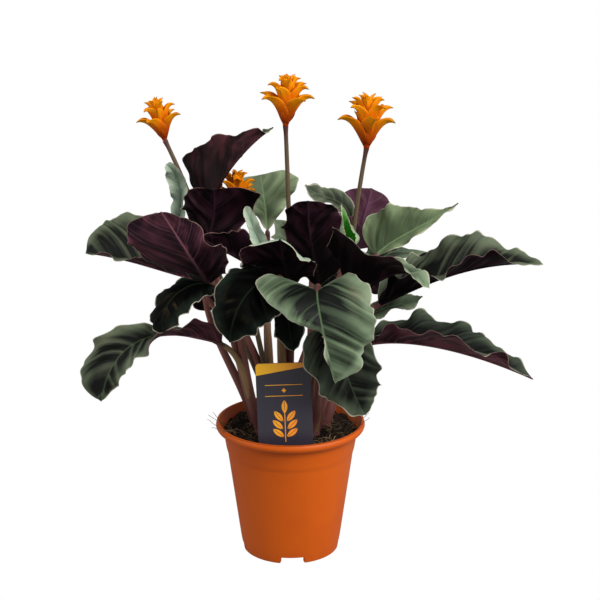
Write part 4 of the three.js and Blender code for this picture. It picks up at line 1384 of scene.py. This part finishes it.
        # the midrib is a groove above and a half round below, and the sheet thins at its margin
        rib = self.midrib(t)[:, None]
        distance = out * width
        edge = width - distance
        half = self.thickness * mix(0.2, 0.5, smooth(edge, 0, 3))
        bulge = rib * 1.5 * np.sqrt(np.clip(1 - (distance / (1.25 * rib)) ** 2, 0, 1))
        groove = 0.35 * rib * np.clip(1 - distance / (1.2 * rib), 0, 1) * ends
        upper = middle + normals * (relief + half - groove)[..., None]
        under = middle + normals * (relief - half - bulge)[..., None]
        values = {"vein": vein, "rib": distance, "edge": edge, "run": np.repeat(row, s.shape[1], 1)}
        return sheet(upper, under, values)

    def stalk(self, shoot: "Shoot") -> Strand:
        """Return the stalk that rises from the shoot and runs on under the base of the midrib."""
        base = np.asarray(self.rib[0], float)
        into = self.path().heading(np.zeros(1))[0]
        root = np.array([shoot.x, shoot.y, shoot.z])
        away = unit((base - root) * (1, 1, 0))
        root = root + shoot.spread * away
        end = base - into * self.gap
        outward = (shoot.x * shoot.outward, shoot.y * shoot.outward, 1)
        lean = unit(np.asarray(self.lean or outward, float))
        length = np.linalg.norm(end - root)
        rise, run = self.reach
        curve = Path(np.array([root, root + lean * length * rise, end - into * length * run, end]))
        t = np.linspace(0, 1, self.stalk_points)
        girth = mix(self.stalk_foot, self.stalk_top, t ** 0.6)
        # three more points sink under the midrib, where the stalk thins out
        under = np.array([0.012, 0.03, 0.05])
        sunk = self.midrib(under) * np.array([0.5, 0.9, 1.1])
        tail = self.path().at(under) - self.up(under) * sunk[:, None]
        points = np.concatenate([curve.at(t), tail])
        widths = self.slim() * np.concatenate([girth, [2.1, 1.5, 0.8]])
        return Strand(points, widths, self.blush, rise=np.concatenate([t, np.ones(len(under))]))

    def build(self, number: int) -> bpy.types.Object:
        """Build the blade as the leaf of that number."""
        name = f"leaf_{number:02d}"
        piece = self.shell().build(name + "_blade", [LeafSkin(self.tone).make(), LeafBack(self.back).make()])
        return adopt(piece, Slot.LEAF, name)


# ------------------------------------------------------------------ blooms


@dataclass
class Bloom:
    """A flower stalk and the head of pointed bracts on it, in tiers round a small core.

    A tier has its count of bracts and its level, from 0 for the lowest to 1 for the highest. Radii
    and heights are those of a bract's rib, from the lowest tier to the highest at each of its points.
    """

    shoot: str
    path: Sequence[Point]
    size: float
    lean: float
    turn: float
    tiers: Sequence[tuple[int, float]] = ((5, 0.0), (5, 0.36), (5, 0.68), (3, 1.0))
    stagger: float = 0.45
    stray_turn: float = 0.25
    stray_level: float = 0.07
    stray_tip: float = 1.6
    rows: int = 22
    columns: int = 14
    thickness: float = 0.55
    radii: Sequence[Sequence[float]] = (
        (3, 4.5, 3.2, 1.6), (9.5, 8.5, 6, 2.6), (16.5, 13, 8.8, 3.6), (26, 20.5, 13.5, 6),
    )
    heights: Sequence[Sequence[float]] = (
        (1, 9.5, 18.5, 27), (12, 20.5, 29, 35), (20.5, 30, 37, 41), (24, 34, 40.5, 46),
    )
    halves: Sequence[float] = (10.6, 9.8, 8.2, 5.2)
    core: Sequence[tuple[float, float, float]] = (
        (0, -1.5, 0), (2.4, -1.5, 0.5), (3.2, 2, 1), (7.2, 14, 3),
        (8, 22, 3), (6.2, 31, 3), (3, 38, 1), (0, 40, 0),
    )
    core_sides: int = 32
    behind: float = 3
    stalk_foot: float = 2.9
    stalk_top: float = 1.9
    swelling: float = 0.7
    stalk_points: int = 44
    blush: float = -0.9

    def bract(self, up: float, turn: float) -> Shell:
        """Return one bract.

        Args:
            up: 0 for the lowest tier to 1 for the highest.
            turn: Angle round the core in radians.

        Returns:
            The closed shell of the bract.
        """
        level = np.array(up)
        way = np.array([math.cos(turn), math.sin(turn)])
        rib = [
            [*(way * along(radius, level)), float(along(height, level))]
            for radius, height in zip(self.radii, self.heights)
        ]
        rib[3][2] += self.stray_tip * math.sin(2.7 * turn + self.turn)
        blade = Blade(
            rib=rib, face=((-way[0], -way[1], 0.4), (-0.3 * way[0], -0.3 * way[1], 1)),
            half=float(along(self.halves, level)), fold=(10, 50, 10, 50), curl=(48, 0, 48, 0),
            wave=(0.8, 2.2, 0.1 + up, 0.5 + 3 * up), sweep=(0, 0.3), shape=(0.5, 1.0), least=0.25,
        )
        t = np.linspace(0, 1, self.rows + 1)
        s = np.repeat(np.linspace(-1, 1, self.columns + 1)[None], len(t), 0)
        middle = blade.surface(t, s)
        normals = grid_normals(middle)
        left, right = (width[:, None] for width in blade.widths(t))
        width = np.where(s > 0, right, left)
        # the bract thins at its margins and its tip, and fine ribs run along it
        half = self.thickness / 2 * mix(0.35, 1, 1 - np.abs(s) ** 3) * mix(1, 0.6, t[:, None])
        ribs = 0.12 * np.cos(s * 4 * np.pi) * smooth(width, 0.5, 3)
        values = {
            "run": np.repeat(t[:, None], s.shape[1], 1), "edge": width * (1 - np.abs(s)), "vein": s + turn,
            "rise": middle[..., 2] / self.heights[-1][-1],
        }
        upper = middle + normals * (half + ribs)[..., None]
        return sheet(upper, middle + normals * (ribs - half)[..., None], values)

    def heart(self) -> Shell:
        """Return the small core that the bracts stand on."""
        shell = revolve(rounded(self.core), np.linspace(0, 2 * math.pi, self.core_sides, endpoint=False))
        ones = np.ones(len(shell.points))
        rise = shell.points[:, 2] / self.heights[-1][-1]
        shell.values = {"run": ones * 0.25, "edge": ones * 5, "vein": shell.points[:, 0], "rise": rise}
        return shell

    def build(self, number: int) -> bpy.types.Object:
        """Build the head as the bloom of that number."""
        shells = []
        for tier, (count, up) in enumerate(self.tiers):
            for i in range(count):
                around = (i + self.stagger * tier) * 2 * math.pi / count
                around += self.stray_turn * math.sin(3.1 * i + self.turn)
                level = up + self.stray_level * math.sin(2.3 * i + tier + self.turn)
                shells.append(self.bract(min(max(level, 0.0), 1.0), around))
        whole = joined([*shells, self.heart()])
        turn, lean = math.radians(self.turn), math.radians(self.lean)
        x, y, z = whole.points.T * self.size
        x, y = x * math.cos(turn) - y * math.sin(turn), x * math.sin(turn) + y * math.cos(turn)
        x, z = x * math.cos(lean) + z * math.sin(lean), z * math.cos(lean) - x * math.sin(lean)
        # the core's underside stands on the end of the stalk
        lift = -self.core[0][1] * self.size
        top = np.asarray(self.path[2]) + lift * np.array([math.sin(lean), 0, math.cos(lean)])
        whole.points = np.stack([x, y, z], 1) + top
        name = f"bloom_{number}"
        return adopt(whole.build(name + "_head", [BractSkin().make()]), Slot.BLOOM, name)

    def stalk(self, shoot: "Shoot") -> Strand:
        """Return the flower stalk, which rises behind the leaf stalks and swells under the head."""
        root = (shoot.x, shoot.y + self.behind, shoot.z)
        curve = Path.through([root, *self.path])
        t = np.linspace(0, 1, self.stalk_points)
        girth = mix(self.stalk_foot, self.stalk_top, t) + self.swelling * smooth(t, 0.97, 1.0)
        return Strand(curve.at(t), girth, self.blush, rise=t)


# ------------------------------------------------------------------ shoots


@dataclass
class Shoot:
    """A crown that stands in the soil, with the stalks that grow from it at the height z."""

    name: str
    x: float
    y: float
    z: float = 126
    spread: float = 3.2
    outward: float = 0.012
    deep: float = 108
    radius: float = 7.6
    shoulder_radius: float = 7.0
    throat_radius: float = 6.2
    neck_radius: float = 5.4
    neck_top: float = 139
    cap_radius: float = 1.0
    sides: int = 16

    def crown(self) -> Strand:
        """Return the crown as a short thick strand that narrows to a neck."""
        rings = np.array([
            (self.deep, self.radius), (self.z - 8, self.radius), (self.z, self.radius),
            (self.z + 4, self.shoulder_radius), (self.z + 9, self.throat_radius),
            (self.neck_top, self.neck_radius), (self.neck_top + 3, self.cap_radius),
        ])
        points = np.array([(self.x, self.y, height) for height in rings[:, 0]])
        return Strand(points, rings[:, 1], blush=0.9, rise=np.linspace(0, 0.12, len(rings)))

    def build(self, leaves: Sequence[Leaf], blooms: Sequence[Bloom]) -> bpy.types.Object:
        """Build the crown with the stalks of its leaves and blooms."""
        growing = [part for part in (*leaves, *blooms) if part.shoot == self.name]
        strands = [self.crown(), *(part.stalk(self) for part in growing)]
        name = f"shoot_{self.name}"
        piece = Strands(self.sides, StalkSkin().make()).build(name + "_stalks", strands)
        return adopt(piece, Slot.STEM, name)


SHOOTS = (
    Shoot("front_left", -26, -14), Shoot("left", -31, 8), Shoot("back_left", -15, 27),
    Shoot("middle", -2, 3), Shoot("front_right", 20, -20), Shoot("right", 31, 4),
    Shoot("back_right", 13, 27),
)

BLOOMS = (
    Bloom("back_left", ((-50, 38, 208), (-82, 42, 300), (-116, 50, 383)), size=0.86, lean=-13, turn=40),
    Bloom("middle", ((0, 14, 212), (-1, 19, 307), (-4, 16, 402)), size=1, lean=3, turn=80),
    Bloom("right", ((46, 14, 206), (57, 20, 294), (69, 15, 382)), size=1.06, lean=2, turn=200),
    Bloom("back_left", ((-28, 33, 184), (-41, 39, 251), (-50, 40, 318)), size=0.85, lean=0, turn=330),
)

# how the leaves at the back arch over
ARCHED = {"fold": (15, 0, 15, 0), "curl": (-10, -20, -10, -20), "sweep": (0, 0.5)}

LEAVES = (
    # the large leaf that hangs in front
    Leaf(
        "front_right", Tone.MID, Back.WARM,
        rib=((24, -69, 272), (26, -95, 258), (32, -105, 232), (39, -99, 199)),
        face=((-0.1, -0.75, 0.9), (0.1, -1, 0.25)), half=50,
        fold=(24, -5, 20, 5), curl=(-15, -35, -10, -30),
        wave=(4.5, 2.4, 0.05, 0.6), sweep=(-0.68, 0.5), shape=(0.5, 0.8), gap=1.9,
        wide_left=(0.9, 0.95, 1.3), wide_right=(1.3, 1.1, 0.12, 0.1, 0.15),
    ),
    # the lowest leaf, under it
    Leaf(
        "front_right", Tone.DUSK, Back.DEEP,
        rib=((32, -42, 228), (43, -62, 214), (54, -62, 183), (68, -42, 148)),
        face=((0.3, -0.7, 0.7), (0.4, -1, 0.35)), half=30,
        fold=(40, 15, 10, 0), curl=(20, 0, -20, -25),
        wave=(4, 2.2, 0.1, 0.3), sweep=(-0.1, 0.5),
        wide_left=(1, 1.05), wide_right=(1.25, 1.05, 0.55), blush=0.2,
    ),
    # the dark leaf that hangs left of the middle, near black partly by its own colour and partly as painted
    # shade
    Leaf(
        "middle", Tone.BLACK, Back.DEEP,
        rib=((-10, -43, 277), (-27, -63, 277), (-43, -80, 262), (-52, -80, 230)),
        face=((-0.1, -0.5, 1), (-0.2, -1, 0)), half=37,
        fold=(5, -5, 5, 0), curl=(-20, -20, -20, -25),
        wave=(3, 2.2, 0.2, 0.5), sweep=(-0.1, 0.5),
        wide_left=(0.9, 0.85), wide_right=(0.85, 0.75),
        lean=(-0.12, -0.3, 1), reach=(0.7, 0.08), blush=0.35,
    ),
    # the small dark arched leaf on the left, near black partly by its own colour and partly as painted shade
    Leaf(
        "front_left", Tone.BLACK, Back.DEEP,
        rib=((-64, -30, 262), (-85, -46, 271), (-105, -64, 260.5), (-110, -78, 239.5)),
        face=((0.1, -0.3, 1), (-0.7, -0.7, 0.1)), half=26,
        fold=(20, -5, -20, -5), curl=(-10, -20, -10, -30),
        wave=(3, 2, 0.1, 0.6), sweep=(0, 0.5), shape=(0.6, 0.6),
        wide_left=(0.9, 0.96), wide_right=(0.8, 1),
    ),
    # the low leaf at the far left
    Leaf(
        "front_left", Tone.DARK, Back.WARM,
        rib=((-63, -28, 210), (-107, -42, 224), (-146, -50, 212), (-169, -55, 167)),
        face=((-0.1, -0.5, 1), (-0.6, -0.8, 0.35)), half=34,
        fold=(110, -40, 45, -5), curl=(0, 0, 0, -20),
        wave=(3.5, 2.8, 0.2, 0.5), sweep=(0, 0.3), shape=(0.6, 0.6),
        wide_left=(1.3, 0.75, 0.5), wide_right=(0.15, 0.25, 0.85, 2.4), blush=0.3,
    ),
    # the trough-shaped leaf at the upper left
    Leaf(
        "left", Tone.DARK, Back.WARM,
        rib=((-85, 15, 260), (-115, 10, 269), (-149, 5, 280), (-184, 0, 288)),
        face=((0, -0.25, 1), (-0.1, -0.35, 1)), half=44,
        fold=(75, 25, 60, 40), curl=(0, -10, -10, -40),
        wave=(3, 2.2, 0.3, 0.2), sweep=(0, 0.2), shape=(0.7, 0.55),
        wide_left=(0.7, 0.5), wide_right=(1.05, 1.15, 1.1),
    ),
    # the leaf in front of it, turned to show its underside
    Leaf(
        "front_left", Tone.DARK, Back.DUSK,
        rib=((-73, -20, 264), (-82, -28, 281), (-94, -38, 304), (-111, -46, 335)),
        face=((0.1, 0.9, 0.5), (-0.1, 0.75, 0.65)), half=44,
        fold=(10, 0, 10, 5), curl=(-20, -10, 10, 10),
        wave=(4, 2.6, 0.1, 0.6), sweep=(0, 0.3), shape=(0.9, 0.55),
        wide_left=(1.4, 0.7, 0.4), wide_right=(0.65, 1.4),
    ),
    # the broad upright leaf left of the middle
    Leaf(
        "left", Tone.DARK, Back.DEEP,
        rib=((-79, 2, 253), (-77, 10, 284), (-71, 12, 314), (-69, 4, 345)),
        face=((0.1, 1, 0.35), (0.1, 0.8, 0.6)), half=42,
        fold=(15, 0, 15, 0), curl=(5, 5, 5, 5),
        wave=(4, 2.9, 0.1, 0.4), sweep=(-0.1, 0.2), shape=(1.5, 0.4),
        wide_left=(0.1, 0.25, 0.75, 1.15), wide_right=(0.7, 0.7),
    ),
    # the tallest leaf, half folded shut
    Leaf(
        "back_left", Tone.MID, Back.WINE,
        rib=((-75, 20, 328), (-61, 17, 354), (-41, 15, 379), (-17, 12, 400)),
        face=((0.75, 0.6, 0.2), (0.4, 0.9, -0.2)), half=38,
        fold=(130, 120, 0, 0), curl=(0, 0, 10, 10),
        wave=(3.5, 2.8, 0.1, 0.4), sweep=(0, 0.15), shape=(0.55, 0.8),
        wide_left=(0.3, 0.4), wide_right=(2.05, 0.9, 0.35), least=5, tip_turn=150,
    ),
    # the slim leaf beside it, pale partly by its own colour and partly as painted light
    Leaf(
        "back_left", Tone.PALE, Back.DEEP,
        rib=((-105, 44, 304), (-101, 38, 327), (-103, 32, 348), (-112, 26, 364)),
        face=((-0.5, -0.8, 0.5), (-0.3, -1, 0.5)), half=10,
        fold=(35, 20, 35, 20), curl=(0, 0, 0, 0),
        wave=(3, 2.2, 0.1, 0.4), sweep=(0, 0.6), shape=(0.3, 0.4),
    ),
    # the leaf behind the small bloom, pale partly by its own colour and partly as painted light
    Leaf(
        "back_left", Tone.SAGE, Back.DEEP,
        rib=((-22, 66, 292), (-23, 64, 310), (-25, 64, 328), (-28, 68, 345)),
        face=((0.1, -1, 0.4), (0.1, -0.9, 0.6)), half=33,
        fold=(10, 5, 10, 5), curl=(0, 0, 5, 5),
        wave=(3, 2.6, 0, 0.3), sweep=(0, 0.15), shape=(1.3, 0.28),
        wide_left=(0.75, 0.7), wide_right=(1, 0.95),
    ),
    # the upright leaf in the middle
    Leaf(
        "middle", Tone.MID, Back.DEEP,
        rib=((26, 10, 254), (21, 8, 283), (17, 4, 313), (16, -4, 336)),
        face=((0, 1, 0.3), (0, 0.8, 0.7)), half=32,
        fold=(15, 5, 15, 5), curl=(5, 5, 5, 5),
        wave=(4, 2, 0.3, 0.1), sweep=(0, 0), shape=(0.8, 0.5),
        wide_left=(1.6, 1.13, 0.9), wide_right=(1.1, 0.82, 0.7),
    ),
    # the cupped leaf in front of it
    Leaf(
        "middle", Tone.PALE, Back.DEEP,
        rib=((0, -28, 259), (-3, -38, 278), (-6, -50, 297), (-8, -60, 314)),
        face=((0.05, 0.8, 0.7), (0.1, 0.2, 1)), half=35,
        fold=(20, 10, 20, 10), curl=(20, -80, 10, -70),
        wave=(4, 2.2, 0.1, 0.3), sweep=(0, 0), shape=(0.9, 0.5),
        wide_left=(1, 0.75), wide_right=(1, 1.25),
        lean=(0, -0.25, 1), reach=(0.4, 0.2),
    ),
    # a small waved leaf behind the middle
    Leaf(
        "back_right", Tone.DARK, Back.DEEP,
        rib=((55, 26, 315), (46, 22, 330), (31, 18, 337), (15, 14, 347)),
        face=((0, -0.6, 0.8), (0.1, -0.8, 0.6)), half=11,
        fold=(20, 10, 20, 10), curl=(0, 0, -10, -10),
        wave=(3.5, 2.0, 0.1, 0.5), sweep=(0, 0.6),
    ),
    # the young bright leaf round a bloom's stalk
    Leaf(
        "right", Tone.YOUNG, Back.SHEATH,
        rib=((50, -11, 299), (49, -12, 310), (48, -14, 322), (46, -16, 335)),
        face=((0.1, -0.95, 0.4), (0.2, -1, 0.3)), half=12,
        fold=(20, 30, 20, 30), curl=(170, 30, 170, 30),
        wave=(1.5, 1.6, 0.1, 0.3), sweep=(0, 0.2), shape=(0.3, 0.9),
        wide_left=(1.5, 1.9, 1, 0.6), wide_right=(2.2, 2.6, 1.4, 0.6),
    ),
    # the leaf right of the middle that curls over at its tip
    Leaf(
        "right", Tone.MID, Back.DEEP,
        rib=((50, -25, 253), (73, -38, 269), (97, -50, 283), (121, -58, 273)),
        face=((0.1, 0.35, 1), (-0.2, -0.5, 1)), half=42,
        fold=(30, 0, 80, 30), curl=(0, -20, 0, -20),
        wave=(4, 2.3, 0.1, 0.4), sweep=(0, 0.3),
        wide_left=(0.7, 0.45), wide_right=(1.35, 1.5, 0.5),
    ),
    # the leaf at the upper right, pale partly by its own colour and partly as painted light
    Leaf(
        "back_right", Tone.LIGHT, Back.DEEP,
        rib=((79, 20, 281), (97, 18, 296), (121, 14, 311), (151, 10, 331)),
        face=((-0.2, -0.75, 0.65), (-0.2, -0.75, 0.6)), half=32,
        fold=(5, 5, 20, 20), curl=(-5, -5, -30, -30),
        wave=(3, 3, 0.2, 0.5), sweep=(0, 0.2), shape=(0.42, 1.25),
        wide_left=(1.15, 1.1, 0.75), wide_right=(0.1, 0.35, 0.35), least=3, tip_turn=90,
    ),
    # the long leaf at the far right
    Leaf(
        "right", Tone.DARK, Back.DEEP,
        rib=((82, 2, 239), (124, 0, 259), (171, -4, 275), (227, -8, 280)),
        face=((0.05, -0.15, 1), (0, -0.3, 1)), half=38,
        fold=(45, 35, 55, 45), curl=(-10, -25, 0, -20),
        wave=(8, 1.9, 0.05, 0.95), sweep=(0, 0.25), shape=(0.5, 0.6),
        wide_left=(0.9, 1, 0.75), wide_right=(1, 0.75, 0.9),
    ),
    # the low waved leaf on the right
    Leaf(
        "front_right", Tone.DUSK, Back.WARM,
        rib=((71, -22, 209), (112, -30, 212), (162, -38, 203), (217, -44, 183)),
        face=((0, 0.05, 1), (0.1, -0.05, 1)), half=34,
        fold=(35, 30, 50, 35), curl=(-10, -20, -10, -20),
        wave=(4, 3.6, 0.1, 0.5), sweep=(0, 0.35),
        wide_left=(1.1, 1.15, 1), wide_right=(0.75, 1, 1.1),
    ),
    # the round leaf at the back, turned away
    Leaf(
        "back_right", Tone.MID, Back.PLUM,
        rib=((58, 42, 281), (65, 50, 296), (71, 58, 314), (76, 64, 333)),
        face=((0.1, 1, 0.3), (0.1, 1, 0.4)), half=29,
        fold=(10, 5, 10, 5), curl=(0, 0, 0, 0),
        wave=(1.2, 1.6, 0.1, 0.4), sweep=(0, 0), shape=(0.9, 0.45),
    ),
    # a narrow leaf on the right
    Leaf(
        "back_right", Tone.MID, Back.DEEP,
        rib=((72, 30, 217), (88, 32, 226), (105, 34, 230), (123, 36, 236)),
        face=((-0.1, -0.45, 0.9), (-0.1, -0.5, 0.9)), half=12,
        fold=(20, 10, 20, 10), curl=(0, 0, 0, 0),
        wave=(3, 1.8, 0.1, 0.4), sweep=(0, 0.6),
    ),
    # a small leaf that hangs in the shade of the front ones
    Leaf(
        "middle", Tone.BLACK, Back.DEEP,
        rib=((-3, -41, 255), (-2, -48, 244), (0, -51, 229), (3, -49, 212)),
        face=((0, -0.7, 0.7), (0, -1, 0.2)), half=14,
        fold=(15, 0, 15, 0), curl=(-10, -10, -10, -10),
        wave=(2, 1.8, 0.1, 0.4), sweep=(0, 0.6),
        lean=(0.05, -0.25, 1),
    ),
    # a slim rolled young leaf in the middle
    Leaf(
        "middle", Tone.PALE, Back.DEEP,
        rib=((-23, -27, 296), (-28, -29, 307), (-33, -30, 320), (-38, -28, 336)),
        face=((0.3, -0.9, 0.4), (-0.2, -1, 0.3)), half=8,
        fold=(20, 10, 20, 10), curl=(70, 50, 40, 20), shape=(0.5, 0.5),
        wave=(1.5, 1.5, 0.1, 0.4), sweep=(0, 0.6),
        lean=(-0.05, -0.3, 1), reach=(0.4, 0.3),
    ),
    # the dark leaf that points left from the middle
    Leaf(
        "middle", Tone.DARK, Back.DEEP,
        rib=((-17, 0, 267), (-37, -11, 281), (-58, -20, 295), (-79, -28, 309)),
        face=((0.1, 0.5, 0.9), (0, 0.35, 0.9)), half=27,
        fold=(65, 40, 20, 10), curl=(0, 0, 0, 0),
        wave=(2.5, 2, 0.1, 0.4), sweep=(0, 0.3),
        wide_left=(0.9, 0.95), wide_right=(0.6, 0.8),
    ),
    # five leaves that arch over at the back
    Leaf(
        "back_left", Tone.MID, Back.DEEP,
        rib=((-30, 62, 225), (-52, 98, 236), (-72, 132, 222), (-84, 160, 188)),
        face=((-0.1, 0.2, 1), (-0.4, 0.8, 0.4)), half=38,
        wave=(4, 2.4, 0.1, 0.4), blush=0.45, **ARCHED,
    ),
    Leaf(
        "back_right", Tone.DARK, Back.DEEP,
        rib=((34, 66, 222), (54, 100, 240), (72, 138, 232), (82, 172, 204)),
        face=((0.1, 0.2, 1), (0.4, 0.8, 0.4)), half=38,
        wave=(4, 2.4, 0.1, 0.4), **ARCHED,
    ),
    Leaf(
        "back_right", Tone.MID, Back.DEEP,
        rib=((20, 60, 248), (21, 90, 278), (20, 124, 288), (16, 158, 272)),
        face=((0, 0.1, 1), (0, 0.6, 0.8)), half=38,
        wave=(4, 2.4, 0.1, 0.4), **ARCHED,
    ),
    Leaf(
        "back_left", Tone.DARK, Back.DEEP,
        rib=((-76, 68, 246), (-92, 92, 268), (-106, 118, 272), (-118, 144, 258)),
        face=((-0.1, 0, 1), (-0.3, 0.6, 0.7)), half=26,
        wave=(3, 2.2, 0.3, 0.1), blush=0.55, **ARCHED,
    ),
    Leaf(
        "back_right", Tone.MID, Back.DEEP,
        rib=((66, 56, 248), (90, 74, 266), (112, 94, 268), (132, 116, 254)),
        face=((0.1, 0, 1), (0.4, 0.5, 0.7)), half=30,
        wave=(3.5, 2.6, 0.2, 0.5), **ARCHED,
    ),
)


# ------------------------------------------------------------------ studio


@dataclass
class Studio:
    """A wide pale floor, soft light and the camera.

    Lengths are metres and angles degrees. Only the lens and its sensor are in millimetres.
    """

    camera_place: Point = (0.009, -1.3, 0.615)
    camera_pitch: float = 15.94
    lens: float = 88.26
    sensor: float = 36
    floor_radius: float = 14
    floor_sides: int = 64
    floor_colour: str = "#8c8c8a"
    world_strength: float = 0.46
    sun_strength: float = 2.1
    sun_turn: Point = (36, 30, 0)
    sun_size: float = 24
    box_size: float = 0.9
    box_height: float = 0.9
    box_distance: float = 1.25
    box_pitch: float = 62

    def light(self, name: str, kind: str, turn: Point, energy: float, **settings: object) -> bpy.types.Object:
        """Add a lamp.

        Args:
            name: Name of the lamp.
            kind: Its type.
            turn: Its rotation in degrees.
            energy: Its strength.
            settings: Other properties of the lamp.

        Returns:
            The lamp's object.
        """
        lamp = bpy.data.lights.new(name, kind)
        lamp.energy = energy
        for key, value in settings.items():
            setattr(lamp, key, value)
        made = bpy.data.objects.new(name, lamp)
        made.rotation_euler = [math.radians(angle) for angle in turn]
        bpy.context.scene.collection.objects.link(made)
        return made

    def floor_finish(self) -> bpy.types.Material:
        """Make the floor, which is grey to the piece that stands on it and white to the camera."""
        skin = Shading("pale_floor", Roughness=0.9)
        seen = skin.node("ShaderNodeLightPath").outputs["Is Camera Ray"]
        white = skin.node("ShaderNodeEmission", inputs={"Strength": 1.0}).outputs[0]
        both = skin.node("ShaderNodeMixShader", inputs={0: seen, 1: skin.shader.outputs[0], 2: white})
        made = skin.finish(self.floor_colour)
        skin.feed(skin.output.inputs["Surface"], both.outputs[0])
        return made

    def sky(self) -> bpy.types.World:
        """Make the world, which is dim to the piece and white to the camera."""
        world = bpy.data.worlds.new("studio")
        world.use_nodes = True
        world.node_tree.nodes.clear()
        sky = NodeSheet(world.node_tree)
        seen = sky.node("ShaderNodeLightPath").outputs["Is Camera Ray"]
        pale = colour("#ffffff")
        glow, white = (
            sky.node("ShaderNodeBackground", inputs={"Color": pale, "Strength": strength}).outputs[0]
            for strength in (self.world_strength, 1.0)
        )
        both = sky.node("ShaderNodeMixShader", inputs={0: seen, 1: glow, 2: white})
        sky.node("ShaderNodeOutputWorld", inputs={"Surface": both.outputs[0]})
        return world

    def build(self) -> None:
        """Set up the floor, the lamps, the world and the camera."""
        scene = bpy.context.scene
        angles = np.linspace(0, 2 * math.pi, self.floor_sides, endpoint=False)
        ring = self.floor_radius * np.stack([np.cos(angles), np.sin(angles), 0 * angles], 1)
        mesh = bpy.data.meshes.new("floor")
        mesh.from_pydata(ring.tolist(), [], [range(self.floor_sides)])
        mesh.materials.append(self.floor_finish())
        floor = bpy.data.objects.new("floor", mesh)
        scene.collection.objects.link(floor)
        scene.world = self.sky()
        self.light("sun", "SUN", self.sun_turn, self.sun_strength, angle=math.radians(self.sun_size))
        for name, side, front, energy in (("soft_box_right", 1, 0.7, 19), ("soft_box_left", -1, 0.3, 10)):
            turn = (self.box_pitch, 0, side * (88 - 40 * front))
            box = self.light(name, "AREA", turn, energy, size=self.box_size)
            box.location = (self.box_distance * side, -front, self.box_height)
        camera = bpy.data.cameras.new("camera")
        camera.lens, camera.sensor_width = self.lens, self.sensor
        camera.clip_end = 100
        eye = bpy.data.objects.new("camera", camera)
        eye.location = self.camera_place
        eye.rotation_euler = (math.radians(90 - self.camera_pitch), 0, 0)
        scene.collection.objects.link(eye)
        scene.camera = eye
        scene.view_settings.view_transform = "Standard"


def main() -> None:
    """Build the studio and every piece in order."""
    logging.basicConfig(level=logging.INFO, format="%(name)s: %(message)s")
    Studio().build()
    pot = Pot()
    pot.build()
    Soil(pot).build()
    Label().build()
    for shoot in SHOOTS:
        shoot.build(LEAVES, BLOOMS)
    for number, leaf in enumerate(LEAVES, 1):
        leaf.build(number)
    for number, bloom in enumerate(BLOOMS, 1):
        bloom.build(number)


if __name__ == "__main__":
    main()
